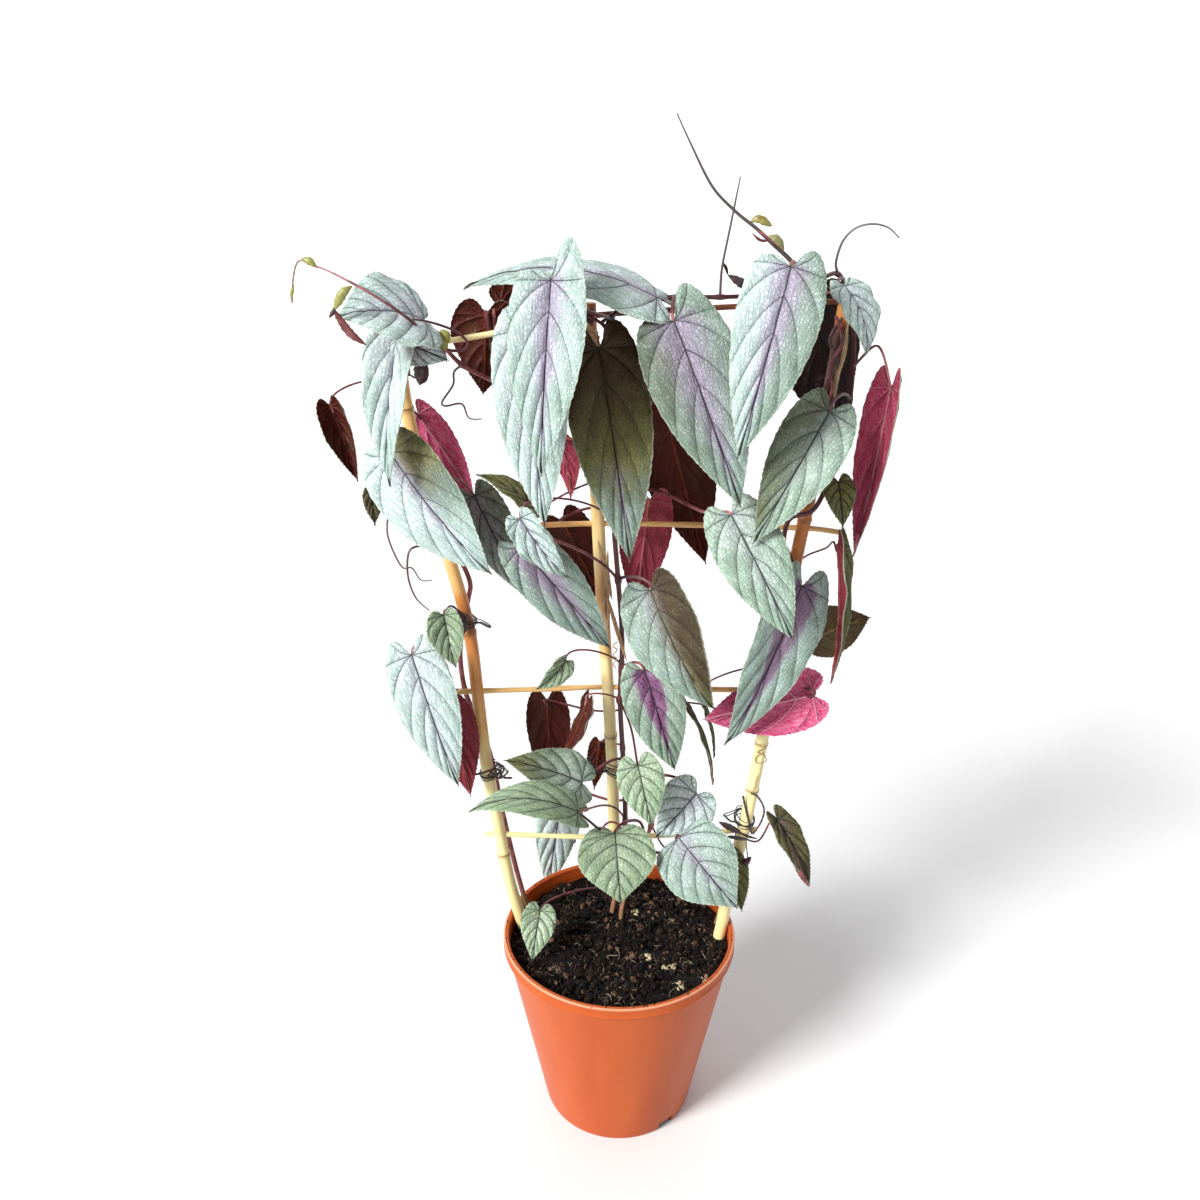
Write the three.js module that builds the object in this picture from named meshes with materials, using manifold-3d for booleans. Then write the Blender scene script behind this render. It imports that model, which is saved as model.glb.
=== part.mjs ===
// A rex begonia vine, climbing over a bamboo fan trellis in a plastic nursery pot.
// Millimetres, +Z up. The origin is the middle of the pot's base, and the trellis faces -Y.
import * as THREE from "three";
import { mergeVertices } from "three/addons/utils/BufferGeometryUtils.js";
import Module from "manifold-3d";

const wasm = await Module();
wasm.setup();

// Pot and soil
const POT_HEIGHT = 145;
const RIM_RADIUS = 85;
const RIM_BAND = 8.5;
const RIM_ROUND = 1.2;
const RIM_INNER_RADIUS = 81;
const WALL_TOP_RADIUS = 82.6;
const BASE_RADIUS = 54.5;
const BASE_ROUND = 1.5;
const FLOOR_THICKNESS = 3;
const FOOT_HEIGHT = 5;
const FOOT_RADIUS = 56.5;
const POT_WALL = 1.6;
const POT_SIDES = 32;
const NOTCH_DEPTH = 5;
const NOTCH_COUNT = 3;
const NOTCH_TURN = THREE.MathUtils.degToRad(-52);
const NOTCH_WIDTH = 13;
const NOTCH_HEIGHT = 7;
const DRAIN_RADIUS = 5;
const DRAIN_RING_RADIUS = 34;
const DRAIN_COUNT = 5;
const DRAIN_SIDES = 10;
const SOIL_LEVEL = 134;
const SOIL_MOUND = 3;
const SOIL_CLOD = 1.1;
const SOIL_EDGE = 2;
const SOIL_RINGS = [1, 0.88, 0.62, 0.32, 0];
const GAP = 0.3;
const WELD = 1e-4;
const SLOPE_STEP = 0.01;

// Trellis and vine
const CANE_RADIUS = 4.4;
const CANE_SIDES = 8;
const NODE_SWELL = 1.2;
const NODE_REACH = 0.09;
const BAR_RADIUS = 1.9;
const BAR_SIDES = 6;
const WIRE_RADIUS = 0.7;
const TIE_ROOM = 1.6;
const TIE_STATIONS = 6;
const TIE_TURN = Math.PI / (TIE_STATIONS - 0.4);
const STEM_RADIUS = 1.7;
const STEM_TAPER = [1.15, 0.75];
const PETIOLE_RADIUS = 1.0;
const PETIOLE_ROOT = 1.2;
const PETIOLE_UNDER_BLADE = 4;
const PETIOLE_DROP = 10;
const PETIOLE_ARCH = 0.25;
const PETIOLE_SHARES = [0.7, 1.1];
const USUAL_WIDTH = 40;
const STEM_SIDES = 5;
const THREAD_SIDES = 3;
const BLADE_THICKNESS = 0.8;
const TOOTH_DEPTH = 0.9;
const BLADE_STEP = 25;
const CUP = 2;
const WAVE = 1.2;
const WAVE_COUNT = 2.5;
const WAVE_STEP = 0.37;

// Where the picture was taken from, so that a place can be read off it: u to the right and v down, in
// pixels of a frame 1200 wide and high, and y as the depth in mm behind the middle of the pot
const EYE = new THREE.Vector3(-14, -613, 624);
const EYE_PITCH = THREE.MathUtils.degToRad(19.9);
const FRAME_MIDDLE = 600;
const FRAME_FOCAL_LENGTH = 1000;

// The point in mm that shows at u, v and lies at depth y
function seen([u, v, y]) {
  const across = (u - FRAME_MIDDLE) / FRAME_FOCAL_LENGTH;
  const down = (v - FRAME_MIDDLE) / FRAME_FOCAL_LENGTH;
  const ray = new THREE.Vector3(
    across,
    Math.cos(EYE_PITCH) - down * Math.sin(EYE_PITCH),
    -Math.sin(EYE_PITCH) - down * Math.cos(EYE_PITCH),
  );
  return EYE.clone().addScaledVector(ray, (y - EYE.y) / ray.y);
}

// Canes: buried end and foot in mm, then [u, v, y] up to the top
const CANES = {
  cane_left: {
    nodes: [2.4, 6.3, 9.2],
    buried: [-54, 10, 45],
    foot: [-71.6, 13, SOIL_LEVEL],
    seen: [[509, 879, 15.5], [496, 814, 20], [486, 761, 22], [478, 697, 24], [471.8, 645, 26],
      [463.5, 606.5, 27], [447, 551, 28], [411, 429, 33], [397, 346, 36]],
  },
  cane_middle: {
    nodes: [3.4, 5.6],
    buried: [4, 41, 30],
    foot: [0, 46, SOIL_LEVEL],
    seen: [[614, 823, 41], [612, 760, 39], [608, 690, 35], [600, 560, 29], [594, 430, 24], [589, 303, 20]],
  },
  cane_right: {
    nodes: [3.5, 4.1, 7.4],
    buried: [56, 0, 45],
    foot: [74.6, 3, SOIL_LEVEL],
    seen: [[728, 890, 6], [744, 829, 12], [760, 750, 17], [772, 690, 20], [790, 590, 24], [800, 540, 25.5],
      [812, 485, 27], [830, 390, 30], [848, 288, 32]],
  },
};

// Cross bars, as [u, v, y] from left to right
const BARS = {
  bar_low: [[487, 834, 19.5], [500, 834, 19.5], [617, 837, 17], [744, 830, 12], [757, 829, 11.5]],
  bar_second: [[459, 692, 24.3], [477, 691, 24.3], [545, 689, 30], [608, 687, 35], [690, 689, 29],
    [772, 690, 20], [784, 690, 19]],
  bar_third: [[424, 529, 29], [440, 528, 28.8], [520, 526, 29], [598.5, 523.5, 28], [700, 525, 27],
    [803, 528, 26], [845, 533, 25]],
  bar_top: [[384, 351, 35.6], [398.5, 349, 35.6], [490, 334, 29], [590, 316, 20.8], [710, 308, 27],
    [846, 301, 32], [860, 300, 32.4]],
};

// Wire ties, each round a cane and the stem beside it: the height of the loop and where its ends point
const TIES = {
  tie_left_low: { cane: "cane_left", vine: "vine_left", at: [484.6, 774, 21.6], end: [508, 772, 8] },
  tie_left_mid: { cane: "cane_left", vine: "vine_left", at: [467, 622, 26.4], end: [490, 627, 18] },
  tie_middle: { cane: "cane_middle", vine: "vine_middle", at: [612.2, 768, 39.2], end: [588, 758, 26] },
  tie_right: { cane: "cane_right", vine: "vine_right", at: [745, 822, 12.5], end: [724, 815, 10] },
};

// Stems of the vine: the buried root end in mm, then [u, v, y] up the stem
const STEMS = {
  vine_left: {
    buried: [-52, 22, 92],
    seen: [[534, 925, 24], [519, 879, 26], [503, 814, 30], [492, 761, 33], [480, 726, 34], [465, 690, 34],
      [460, 645, 35], [468, 600, 37], [470, 583, 37], [462, 563, 38], [448, 540, 39], [428, 480, 42],
      [411, 425, 43], [400, 385, 44], [404, 352, 46], [416, 336, 28], [428, 336, 17], [441, 344, 13],
      [462, 365, 13], [487, 378, 18], [500, 384, 30]],
  },
  vine_middle: {
    buried: [-4, 30, 90],
    seen: [[611, 920, 28], [620, 870, 32], [625, 820, 33], [623, 760, 31], [620, 700, 27], [622, 640, 25],
      [618, 580, 19], [613, 520, 15], [608, 460, 10], [605, 400, 6], [604, 350, 4], [611, 318, 4],
      [632, 303, 4], [660, 298, 5], [690, 297, 6], [720, 297, 6], [748, 296, 8]],
  },
  vine_right: {
    buried: [56, 20, 96],
    seen: [[716, 924, 17], [738, 835, 23], [758, 750, 28], [774, 690, 31], [783, 640, 34], [781, 590, 31],
      [783, 545, 22], [790, 519, 15], [812, 511, 14], [826, 488, 20], [840, 455, 28], [850, 400, 36],
      [854, 345, 40], [850, 300, 42], [838, 274, 34], [816, 280, 14], [797, 272, 4]],
  },
  vine_low: {
    buried: [8, 22, 92],
    seen: [[621, 916, 21], [632, 875, 22], [642, 850, 24], [651, 825, 25], [656, 800, 25], [660, 776, 24]],
  },
};

// Shoots and tendrils that leave a stem: grows is the place along the stem, counted in its points
const SHOOTS = [
  { vine: "vine_left", grows: 18, radius: 1.3, tip: 0.7, seen: [[425, 334, 3], [409, 319, -14], [380, 299, -32],
    [352, 283, -36], [326, 270, -34], [304, 262, -30]] },
  { vine: "vine_left", grows: 18, radius: 1.0, tip: 0.8, seen: [[448, 350, 8], [463, 350, 4], [467, 342, 2],
    [455, 331, 1], [430, 322, -1], [411, 319, -1]] },
  { vine: "vine_left", grows: 19, radius: 0.7, tip: 0.6, seen: [[454, 372, 13], [453, 385, 12], [442, 402, 10],
    [446, 406, 10], [462, 404, 10], [469, 418, 10], [484, 419, 10]] },
  { vine: "vine_left", grows: 11, radius: 0.9, tip: 0.6, seen: [[432, 549, 28], [420, 546, 20], [409, 552, 16],
    [408, 576, 14], [416, 598, 13], [431, 612, 12]] },
  { vine: "vine_left", grows: 12.4, radius: 0.7, tip: 0.6, seen: [[392, 510, 34], [387, 528, 26],
    [391, 546, 22], [402, 567, 18], [412, 568, 16], [421, 580, 14], [434, 580, 12]] },
  { vine: "vine_right", grows: 17, radius: 1.5, tip: 0.6, seen: [[790, 260, 2], [774, 245, 1], [757, 229, 0],
    [735, 211, -2], [712, 186, -4], [690, 142, -6], [676, 111, -8]] },
  { vine: "vine_right", grows: 15, radius: 0.9, tip: 0.6, seen: [[836, 262, 22], [843, 241, 18], [856, 228, 15],
    [873, 224, 12], [889, 228, 10], [901, 240, 8]] },
  { vine: "vine_middle", grows: 16, radius: 0.8, tip: 0.6,
    seen: [[722, 268, 2], [730, 228, 0], [741, 174, -2]] },
];

// Half outlines of a blade, from the sinus round the lobe to the tip, as [along / length, out / half width]
const OUTLINES = {
  long: [[0, 0], [-0.045, 0.1], [-0.1, 0.24], [-0.125, 0.42], [-0.1, 0.62], [-0.03, 0.8], [0.08, 0.94],
    [0.22, 1], [0.4, 0.95], [0.58, 0.77], [0.74, 0.52], [0.87, 0.27], [0.95, 0.1], [1, 0]],
  heart: [[0, 0], [-0.09, 0.09], [-0.17, 0.24], [-0.2, 0.42], [-0.16, 0.64], [-0.06, 0.83], [0.07, 0.96],
    [0.2, 1], [0.36, 0.93], [0.53, 0.76], [0.7, 0.52], [0.84, 0.28], [0.94, 0.1], [1, 0]],
  lobed: [[0, 0], [-0.09, 0.07], [-0.16, 0.2], [-0.19, 0.38], [-0.16, 0.6], [-0.07, 0.8], [0.06, 0.94],
    [0.21, 1], [0.38, 0.95], [0.56, 0.78], [0.72, 0.53], [0.86, 0.28], [0.95, 0.1], [1, 0]],
  round: [[0, 0], [-0.08, 0.12], [-0.13, 0.3], [-0.12, 0.52], [-0.05, 0.73], [0.08, 0.89], [0.22, 0.97],
    [0.37, 1], [0.53, 0.9], [0.68, 0.67], [0.82, 0.37], [0.93, 0.13], [1, 0]],
};
const VEIN_FAN = 0.45;
const VEIN_LEAN = 0.3;
const VEIN_SPREAD = 0.64;

// Leaves: base is where the petiole meets the blade and tip is the blade's point, both [u, v, y]. via is
// where the petiole passes on its way. wide, bow and wave are in mm, roll and fold in degrees. A roll near
// 180 shows the underside. lobes scales how far the lobes on its two sides reach behind the base.
const LOBES = [1, 1];
const LEAVES = [
  { name: "top_front", vine: "vine_middle", grows: 12, base: [551, 281, -40], tip: [541, 478, -52],
    wide: 46, roll: -4, fold: 16, bow: 6, shape: "lobed", lobes: [1.2, 0.3],
    via: [[590, 312, -20], [562, 300, -38]] },
  { name: "top_left_front", vine: "vine_middle", grows: 11.6, base: [527, 330, -26], tip: [545, 528, -34],
    wide: 46, roll: -6, fold: 10, bow: 6 },
  { name: "olive_centre", vine: "vine_middle", grows: 11, base: [599, 349, -8], tip: [630, 563, -22],
    wide: 53, roll: 4, fold: 12, bow: 6 },
  { name: "top_arching", vine: "vine_middle", grows: 14, base: [656, 298, -8], tip: [463, 289, -14],
    shape: "heart", wide: 46, roll: -40, fold: -8, bow: 16, lobes: [0.4, 0.8] },
  { name: "right_centre", vine: "vine_middle", grows: 14.5, base: [674, 321, -18], tip: [741, 508, -34],
    wide: 58, roll: 0, fold: 8, bow: 5, lobes: [1.3, 0.5] },
  { name: "back_maroon", vine: "vine_middle", grows: 9, base: [664, 405, 46], tip: [706, 565, 40],
    wide: 56, roll: 180, fold: 10, bow: 5 },
  { name: "back_crimson", vine: "vine_middle", grows: 8, base: [649, 500, 34], tip: [636, 612, 34],
    wide: 38, roll: 180, fold: 10, bow: 5 },
  { name: "centre_low", vine: "vine_middle", grows: 7, base: [651, 590, 0], tip: [715, 710, -26],
    wide: 56, roll: -30, fold: 18, bow: 8 },
  { name: "back_dark_low", vine: "vine_middle", grows: 5, base: [547, 700, 48], tip: [552, 800, 46],
    wide: 34, roll: 180, fold: 8, bow: 4, via: [[618, 710, 46], [590, 710, 50]] },
  { name: "thin_turned", vine: "vine_middle", grows: 5, base: [588, 700, 20], tip: [557, 762, 14],
    wide: 24, roll: 115, fold: 10, bow: 3 },
  { name: "small_folded", vine: "vine_middle", grows: 5.6, base: [566, 660, 14], tip: [536, 690, 8],
    wide: 22, roll: 30, fold: 35, bow: 2 },
  { name: "level_low", vine: "vine_middle", grows: 4, base: [581, 782, 1], tip: [503, 760, -8],
    wide: 40, roll: -30, fold: 10, bow: 5, shape: "heart" },
  { name: "arched_low", vine: "vine_middle", grows: 3, base: [577, 812, -24], tip: [468, 812, -30],
    wide: 30, roll: -40, fold: 12, bow: 18 },
  { name: "back_small_dark", vine: "vine_middle", grows: 4.2, base: [600, 742, 54], tip: [594, 790, 52],
    wide: 18, roll: 180, fold: 10, bow: 2, via: [[622, 745, 46]] },
  { name: "grey_purple", vine: "vine_middle", grows: 7, base: [521, 547, -8], tip: [611, 649, 2],
    wide: 42, roll: 0, fold: 20, bow: 6 },
  { name: "crumpled", vine: "vine_middle", grows: 8, base: [520, 518, -24], tip: [568, 578, -22],
    wide: 28, roll: -20, fold: 30, bow: 4, wave: 3 },
  { name: "narrow_olive", vine: "vine_middle", grows: 8.6, base: [535, 508, 2], tip: [476, 474, -4],
    wide: 24, roll: -50, fold: 15, bow: 3 },
  { name: "small_red", vine: "vine_middle", grows: 9, base: [560, 440, 8], tip: [571, 500, 6],
    wide: 20, roll: 150, fold: 20, bow: 3 },
  { name: "back_brown", vine: "vine_middle", grows: 8, base: [562, 520, 44], tip: [604, 604, 46],
    wide: 36, roll: 180, fold: 10, bow: 4, via: [[616, 512, 40], [590, 508, 46]] },
  { name: "left_hanging", vine: "vine_left", grows: 17, base: [402, 322, 11], tip: [390, 487, -26],
    wide: 40, roll: -16, fold: 34, bow: 8 },
  { name: "left_top", vine: "vine_left", grows: 17, base: [424, 320, -4], tip: [335, 318, -34],
    wide: 62, roll: -30, fold: 8, bow: 6, shape: "round" },
  { name: "back_heart_left", vine: "vine_left", grows: 20.6, base: [486, 315, 50], tip: [483, 396, 46],
    wide: 48, roll: 180, fold: 8, bow: 4, shape: "heart" },
  { name: "back_heart_top", vine: "vine_left", grows: 21, base: [499, 307, 60], tip: [566, 322, 58],
    wide: 42, roll: 180, fold: 8, bow: 4, shape: "heart" },
  { name: "far_left_folded", vine: "vine_left", grows: 14, base: [331, 406, 14], tip: [358, 482, 6],
    wide: 28, roll: 180, fold: -50, bow: 3 },
  { name: "left_crimson", vine: "vine_left", grows: 13.4, base: [417, 414, 52], tip: [476, 503, 46],
    wide: 27, roll: 170, fold: 10, bow: 5 },
  { name: "left_big", vine: "vine_left", grows: 12.6, base: [391, 454, -4], tip: [492, 575, -16],
    wide: 56, roll: -22, fold: 12, bow: 6, via: [[400, 440, 38], [392, 446, 18]] },
  { name: "left_edge_small", vine: "vine_left", grows: 12.6, base: [371, 490, 16], tip: [375, 526, 12],
    wide: 14, roll: 20, fold: 20, bow: 1 },
  { name: "left_grey", vine: "vine_left", grows: 12, base: [474, 496, 10], tip: [522, 595, 4],
    wide: 34, roll: 10, fold: 12, bow: 4 },
  { name: "left_low_pale", vine: "vine_left", grows: 7, base: [412, 655, 0], tip: [459, 787, -8],
    wide: 44, roll: 0, fold: 8, bow: 5 },
  { name: "left_small_folded", vine: "vine_left", grows: 7.6, base: [444, 615, -2], tip: [456, 668, -12],
    wide: 32, roll: 0, fold: 40, bow: 2, via: [[452, 606, 32], [446, 610, 18]] },
  { name: "left_low_maroon", vine: "vine_left", grows: 6, base: [446, 706, 8], tip: [471, 797, 2],
    wide: 36, roll: 180, fold: 14, bow: 4, via: [[450, 690, 30], [444, 696, 18]] },
  { name: "right_big", vine: "vine_right", grows: 17, base: [791, 267, -20], tip: [737, 460, -38],
    wide: 50, roll: 0, fold: 8, bow: 7, lobes: [0.9, 0.35] },
  { name: "right_middle", vine: "vine_right", grows: 12, base: [829, 412, -2], tip: [752, 545, -28],
    wide: 46, roll: 0, fold: 10, bow: 6 },
  { name: "right_pale", vine: "vine_middle", grows: 8.3, base: [731, 515, -14], tip: [793, 641, -36],
    wide: 46, roll: 0, fold: 8, bow: 6, via: [[652, 490, 12], [704, 512, 4]] },
  { name: "right_purple", vine: "vine_right", grows: 7, base: [801, 586, 6], tip: [724, 746, -10],
    wide: 54, roll: 28, fold: 16, bow: 6 },
  { name: "right_crimson_low", vine: "vine_right", grows: 4, base: [813, 695, 8], tip: [702, 720, -2],
    wide: 47, roll: 180, fold: 4, bow: 1 },
  { name: "right_crimson_long", vine: "vine_right", grows: 12.6, base: [891, 388, 19], tip: [853, 557, 13],
    wide: 35, roll: 150, fold: -50, bow: 4, via: [[878, 346, 14]] },
  { name: "right_narrow", vine: "vine_right", grows: 6.2, base: [838, 545, 12], tip: [831, 684, 4],
    wide: 24, roll: 60, fold: 45, bow: 3, via: [[791, 569, 37], [806, 556, 36], [826, 548, 26]] },
  { name: "right_back_olive", vine: "vine_right", grows: 6, base: [812, 640, 40], tip: [871, 617, 30],
    wide: 42, roll: 160, fold: 10, bow: 3 },
  { name: "right_small_dark", vine: "vine_right", grows: 10, base: [838, 482, 8], tip: [843, 529, -4],
    wide: 22, roll: 0, fold: 12, bow: 2, shape: "heart" },
  { name: "right_top_mint", vine: "vine_right", grows: 14.5, base: [844, 286, 12], tip: [866, 356, 2],
    wide: 42, roll: 40, fold: 10, bow: 5 },
  { name: "right_back_maroon", vine: "vine_right", grows: 14, base: [814, 300, 58], tip: [836, 440, 54],
    wide: 58, roll: 180, fold: 8, bow: 5 },
  { name: "low_right_turned", vine: "vine_right", grows: 2, base: [777, 820, 12], tip: [810, 886, 4],
    wide: 26, roll: 30, fold: 28, bow: 3, via: [[758, 841, 18]], shape: "lobed" },
  { name: "edge_on_long", vine: "vine_right", grows: 4, base: [686, 704, 24], tip: [713, 785, 18],
    wide: 18, roll: 84, fold: 8, bow: 4, via: [[740, 712, 40], [700, 704, 36]] },
  { name: "edge_on_short", vine: "vine_right", grows: 4.4, base: [700, 698, 34], tip: [714, 758, 30],
    wide: 14, roll: 84, fold: 8, bow: 3 },
  { name: "magenta_band", vine: "vine_middle", grows: 5.5, base: [645, 671, 4], tip: [675, 771, -2],
    wide: 43, roll: 0, fold: 10, bow: 4 },
  { name: "small_heart", vine: "vine_middle", grows: 5, base: [638, 766, 2], tip: [652, 827, -8],
    wide: 35, roll: 0, fold: 10, bow: 3, shape: "heart", via: [[631, 728, 22]] },
  { name: "pale_heart", vine: "vine_low", grows: 6, base: [696, 794, 18], tip: [655, 838, 4],
    wide: 44, roll: 0, fold: 10, bow: 3, shape: "heart" },
  { name: "front_heart", vine: "vine_low", grows: 3.4, base: [615, 834, -8], tip: [621, 905, -38],
    wide: 56, roll: 0, fold: 6, bow: 4, shape: "round", via: [[640, 822, 18], [625, 822, 2]] },
  { name: "right_broad", vine: "vine_low", grows: 3.4, base: [679, 838, -10], tip: [738, 909, -38],
    wide: 56, roll: 0, fold: 8, bow: 4, shape: "round", lobes: [0.3, 0.3],
    via: [[655, 852, 16], [672, 850, 0]] },
  { name: "olive_behind", vine: "vine_low", grows: 4, base: [728, 858, 0], tip: [742, 912, -16],
    wide: 26, roll: 10, fold: 10, bow: 3, shape: "heart", via: [[668, 850, 20], [705, 856, 10]] },
  { name: "pot_left", vine: "vine_low", grows: 1.5, base: [540, 911, -6], tip: [532, 962, -34],
    wide: 27, roll: 0, fold: 14, bow: 3, shape: "lobed" },
  { name: "behind_bar", vine: "vine_low", grows: 4, base: [562, 790, 70], tip: [547, 890, 78],
    wide: 39, roll: 10, fold: 10, bow: 4, shape: "heart", via: [[640, 800, 40], [610, 800, 58]] },
  { name: "left_spread", vine: "vine_left", grows: 16.6, base: [398, 338, 0], tip: [450, 361, -6],
    wide: 26, roll: -15, fold: 8, bow: 3 },
];

// Vine nodes carry their leaves, so each leaf keeps its place in the table for its own wave
LEAVES.forEach((leaf, index) => {
  leaf.phase = index * WAVE_STEP;
});

// A solid for joining and cutting, made from a closed geometry
function toSolid(geometry) {
  const bare = geometry.clone();
  bare.deleteAttribute("normal");
  bare.deleteAttribute("uv");
  const welded = mergeVertices(bare, WELD);
  return new wasm.Manifold(new wasm.Mesh({
    numProp: 3,
    vertProperties: new Float32Array(welded.attributes.position.array),
    triVerts: new Uint32Array(welded.index.array),
  }));
}

// The geometry of a solid
function fromSolid(solid) {
  const { vertProperties, triVerts } = solid.getMesh();
  const geometry = new THREE.BufferGeometry();
  geometry.setAttribute("position", new THREE.BufferAttribute(vertProperties, 3));
  geometry.setIndex(new THREE.BufferAttribute(triVerts, 1));
  geometry.computeVertexNormals();
  return geometry;
}

// The largest body of a solid, which leaves out loose scraps and sealed hollows
function mainBody(solid) {
  return solid.decompose().reduce((most, body) => (body.volume() > most.volume() ? body : most));
}

// A smooth curve through the points
function curveThrough(points) {
  return new THREE.CatmullRomCurve3(points, false, "catmullrom", 0.5);
}

// Evenly spaced places along a curve
function stations(curve, count) {
  return Array.from({ length: count + 1 }, (_, index) => curve.getPoint(index / count));
}

// Radii that run evenly from one end of a rod to the other
function taper(count, start, end) {
  return Array.from({ length: count }, (_, index) => THREE.MathUtils.lerp(start, end, index / (count - 1)));
}

// A closed rod along the points, with a radius for each of them
function rod(points, radii, sides) {
  const last = points.length - 1;
  const rings = [];
  let out = new THREE.Vector3(0.3, 1, 0.2);
  points.forEach((point, index) => {
    const ahead = points[Math.min(index + 1, last)].clone().sub(points[Math.max(index - 1, 0)]).normalize();
    out = out.clone().addScaledVector(ahead, -out.dot(ahead)).normalize();
    const across = new THREE.Vector3().crossVectors(ahead, out);
    const ring = [];
    for (let side = 0; side < sides; side += 1) {
      const turn = (side / sides) * 2 * Math.PI;
      const spoke = out.clone().multiplyScalar(Math.cos(turn)).addScaledVector(across, Math.sin(turn));
      ring.push(point.clone().addScaledVector(spoke, radii[index]));
    }
    rings.push(ring);
  });
  const corners = [];
  for (let side = 0; side < sides; side += 1) {
    const next = (side + 1) % sides;
    for (let index = 0; index < last; index += 1) {
      corners.push(rings[index][side], rings[index][next], rings[index + 1][next]);
      corners.push(rings[index][side], rings[index + 1][next], rings[index + 1][side]);
    }
    if (side > 0 && next > 0) {
      corners.push(rings[0][0], rings[0][next], rings[0][side]);
      corners.push(rings[last][0], rings[last][side], rings[last][next]);
    }
  }
  return new THREE.BufferGeometry().setFromPoints(corners);
}

// The room that a rod needs, wider and longer by the gap
function bore(points, radii, sides) {
  const last = points.length - 1;
  const longer = points.map((point) => point.clone());
  longer[0].addScaledVector(points[0].clone().sub(points[1]).normalize(), GAP);
  longer[last].addScaledVector(points[last].clone().sub(points[last - 1]).normalize(), GAP);
  return rod(longer, radii.map((radius) => radius + GAP), sides);
}

// A lathed body, its profile given as [radius, height] from the axis and back to it
function lathed(profile, sides) {
  const points = profile.map(([radius, height]) => new THREE.Vector2(radius, height));
  return new THREE.LatheGeometry(points, sides).rotateX(Math.PI / 2);
}

// Inside radius of the pot's wall at a height
function insideRadius(height) {
  const rise = (height - FOOT_HEIGHT) / (POT_HEIGHT - RIM_BAND - FOOT_HEIGHT);
  return THREE.MathUtils.lerp(FOOT_RADIUS, WALL_TOP_RADIUS, rise) - POT_WALL;
}

// Pot: a tapered wall under a rolled rim, with feet at the base edge and drain holes in the floor
function potSolid() {
  const band = POT_HEIGHT - RIM_BAND;
  const corner = FLOOR_THICKNESS + BASE_ROUND;
  const profile = [
    [0, 0], [BASE_RADIUS - BASE_ROUND * 2, 0], [BASE_RADIUS, BASE_ROUND], [FOOT_RADIUS, FOOT_HEIGHT],
    [WALL_TOP_RADIUS, band], [RIM_RADIUS - RIM_ROUND / 2, band],
    [RIM_RADIUS, band + RIM_ROUND], [RIM_RADIUS, POT_HEIGHT - RIM_ROUND],
    [RIM_RADIUS - RIM_ROUND, POT_HEIGHT - RIM_ROUND / 5], [RIM_RADIUS - RIM_ROUND * 2, POT_HEIGHT],
    [RIM_INNER_RADIUS + RIM_ROUND / 3, POT_HEIGHT - RIM_ROUND / 3], [RIM_INNER_RADIUS, POT_HEIGHT - RIM_ROUND],
    [insideRadius(SOIL_LEVEL), SOIL_LEVEL], [insideRadius(corner), corner],
    [insideRadius(FLOOR_THICKNESS) - BASE_ROUND, FLOOR_THICKNESS], [0, FLOOR_THICKNESS],
  ];
  let solid = toSolid(lathed(profile, POT_SIDES));
  for (let notch = 0; notch < NOTCH_COUNT; notch += 1) {
    const cutter = new THREE.BoxGeometry(NOTCH_DEPTH * 2, NOTCH_WIDTH, NOTCH_HEIGHT * 2);
    cutter.translate(FOOT_RADIUS - 1, 0, 0);
    cutter.rotateZ((notch / NOTCH_COUNT) * 2 * Math.PI + NOTCH_TURN);
    solid = solid.subtract(toSolid(cutter));
  }
  for (let hole = 0; hole < DRAIN_COUNT; hole += 1) {
    const cutter = new THREE.CylinderGeometry(DRAIN_RADIUS, DRAIN_RADIUS, FLOOR_THICKNESS * 4, DRAIN_SIDES);
    cutter.rotateX(Math.PI / 2);
    cutter.translate(DRAIN_RING_RADIUS, 0, 0);
    cutter.rotateZ((hole / DRAIN_COUNT) * 2 * Math.PI);
    solid = solid.subtract(toSolid(cutter));
  }
  return solid;
}

// How far the soil's top stands over its level: a low mound with clods on it
function soilRelief(x, y) {
  const rim = insideRadius(SOIL_LEVEL);
  const mound = SOIL_MOUND * (1 - (x * x + y * y) / (rim * rim));
  const clods = Math.sin(x / 7 + 1.3) * Math.cos(y / 9) + 0.6 * Math.sin(x / 3.7 + y / 4.9);
  return mound + SOIL_CLOD * clods;
}

// Soil: fills the pot, with a hole for each cane and stem that stands in it
function soilSolid() {
  const floor = FLOOR_THICKNESS + GAP;
  const shoulder = SOIL_LEVEL - SOIL_EDGE;
  const edge = insideRadius(shoulder) - GAP;
  const top = SOIL_RINGS.map((share) => [edge * share, SOIL_LEVEL]);
  const geometry = lathed([
    [0, floor], [insideRadius(FLOOR_THICKNESS) - SOIL_EDGE, floor],
    [insideRadius(floor + SOIL_EDGE) - GAP * 1.2, floor + SOIL_EDGE], [edge, shoulder], ...top,
  ], POT_SIDES);
  const position = geometry.attributes.position;
  for (let index = 0; index < position.count; index += 1) {
    if (position.getZ(index) > shoulder) {
      position.setZ(index, SOIL_LEVEL + soilRelief(position.getX(index), position.getY(index)));
    }
  }
  let solid = toSolid(geometry);
  for (const name of Object.keys(CANES)) {
    const { points, radii } = caneRod(name);
    solid = solid.subtract(toSolid(bore(points, radii, CANE_SIDES)));
  }
  for (const name of Object.keys(STEMS)) {
    const { points, radii } = stemRod(name);
    solid = solid.subtract(toSolid(bore(points, radii, STEM_SIDES)));
  }
  return mainBody(solid);
}

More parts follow.
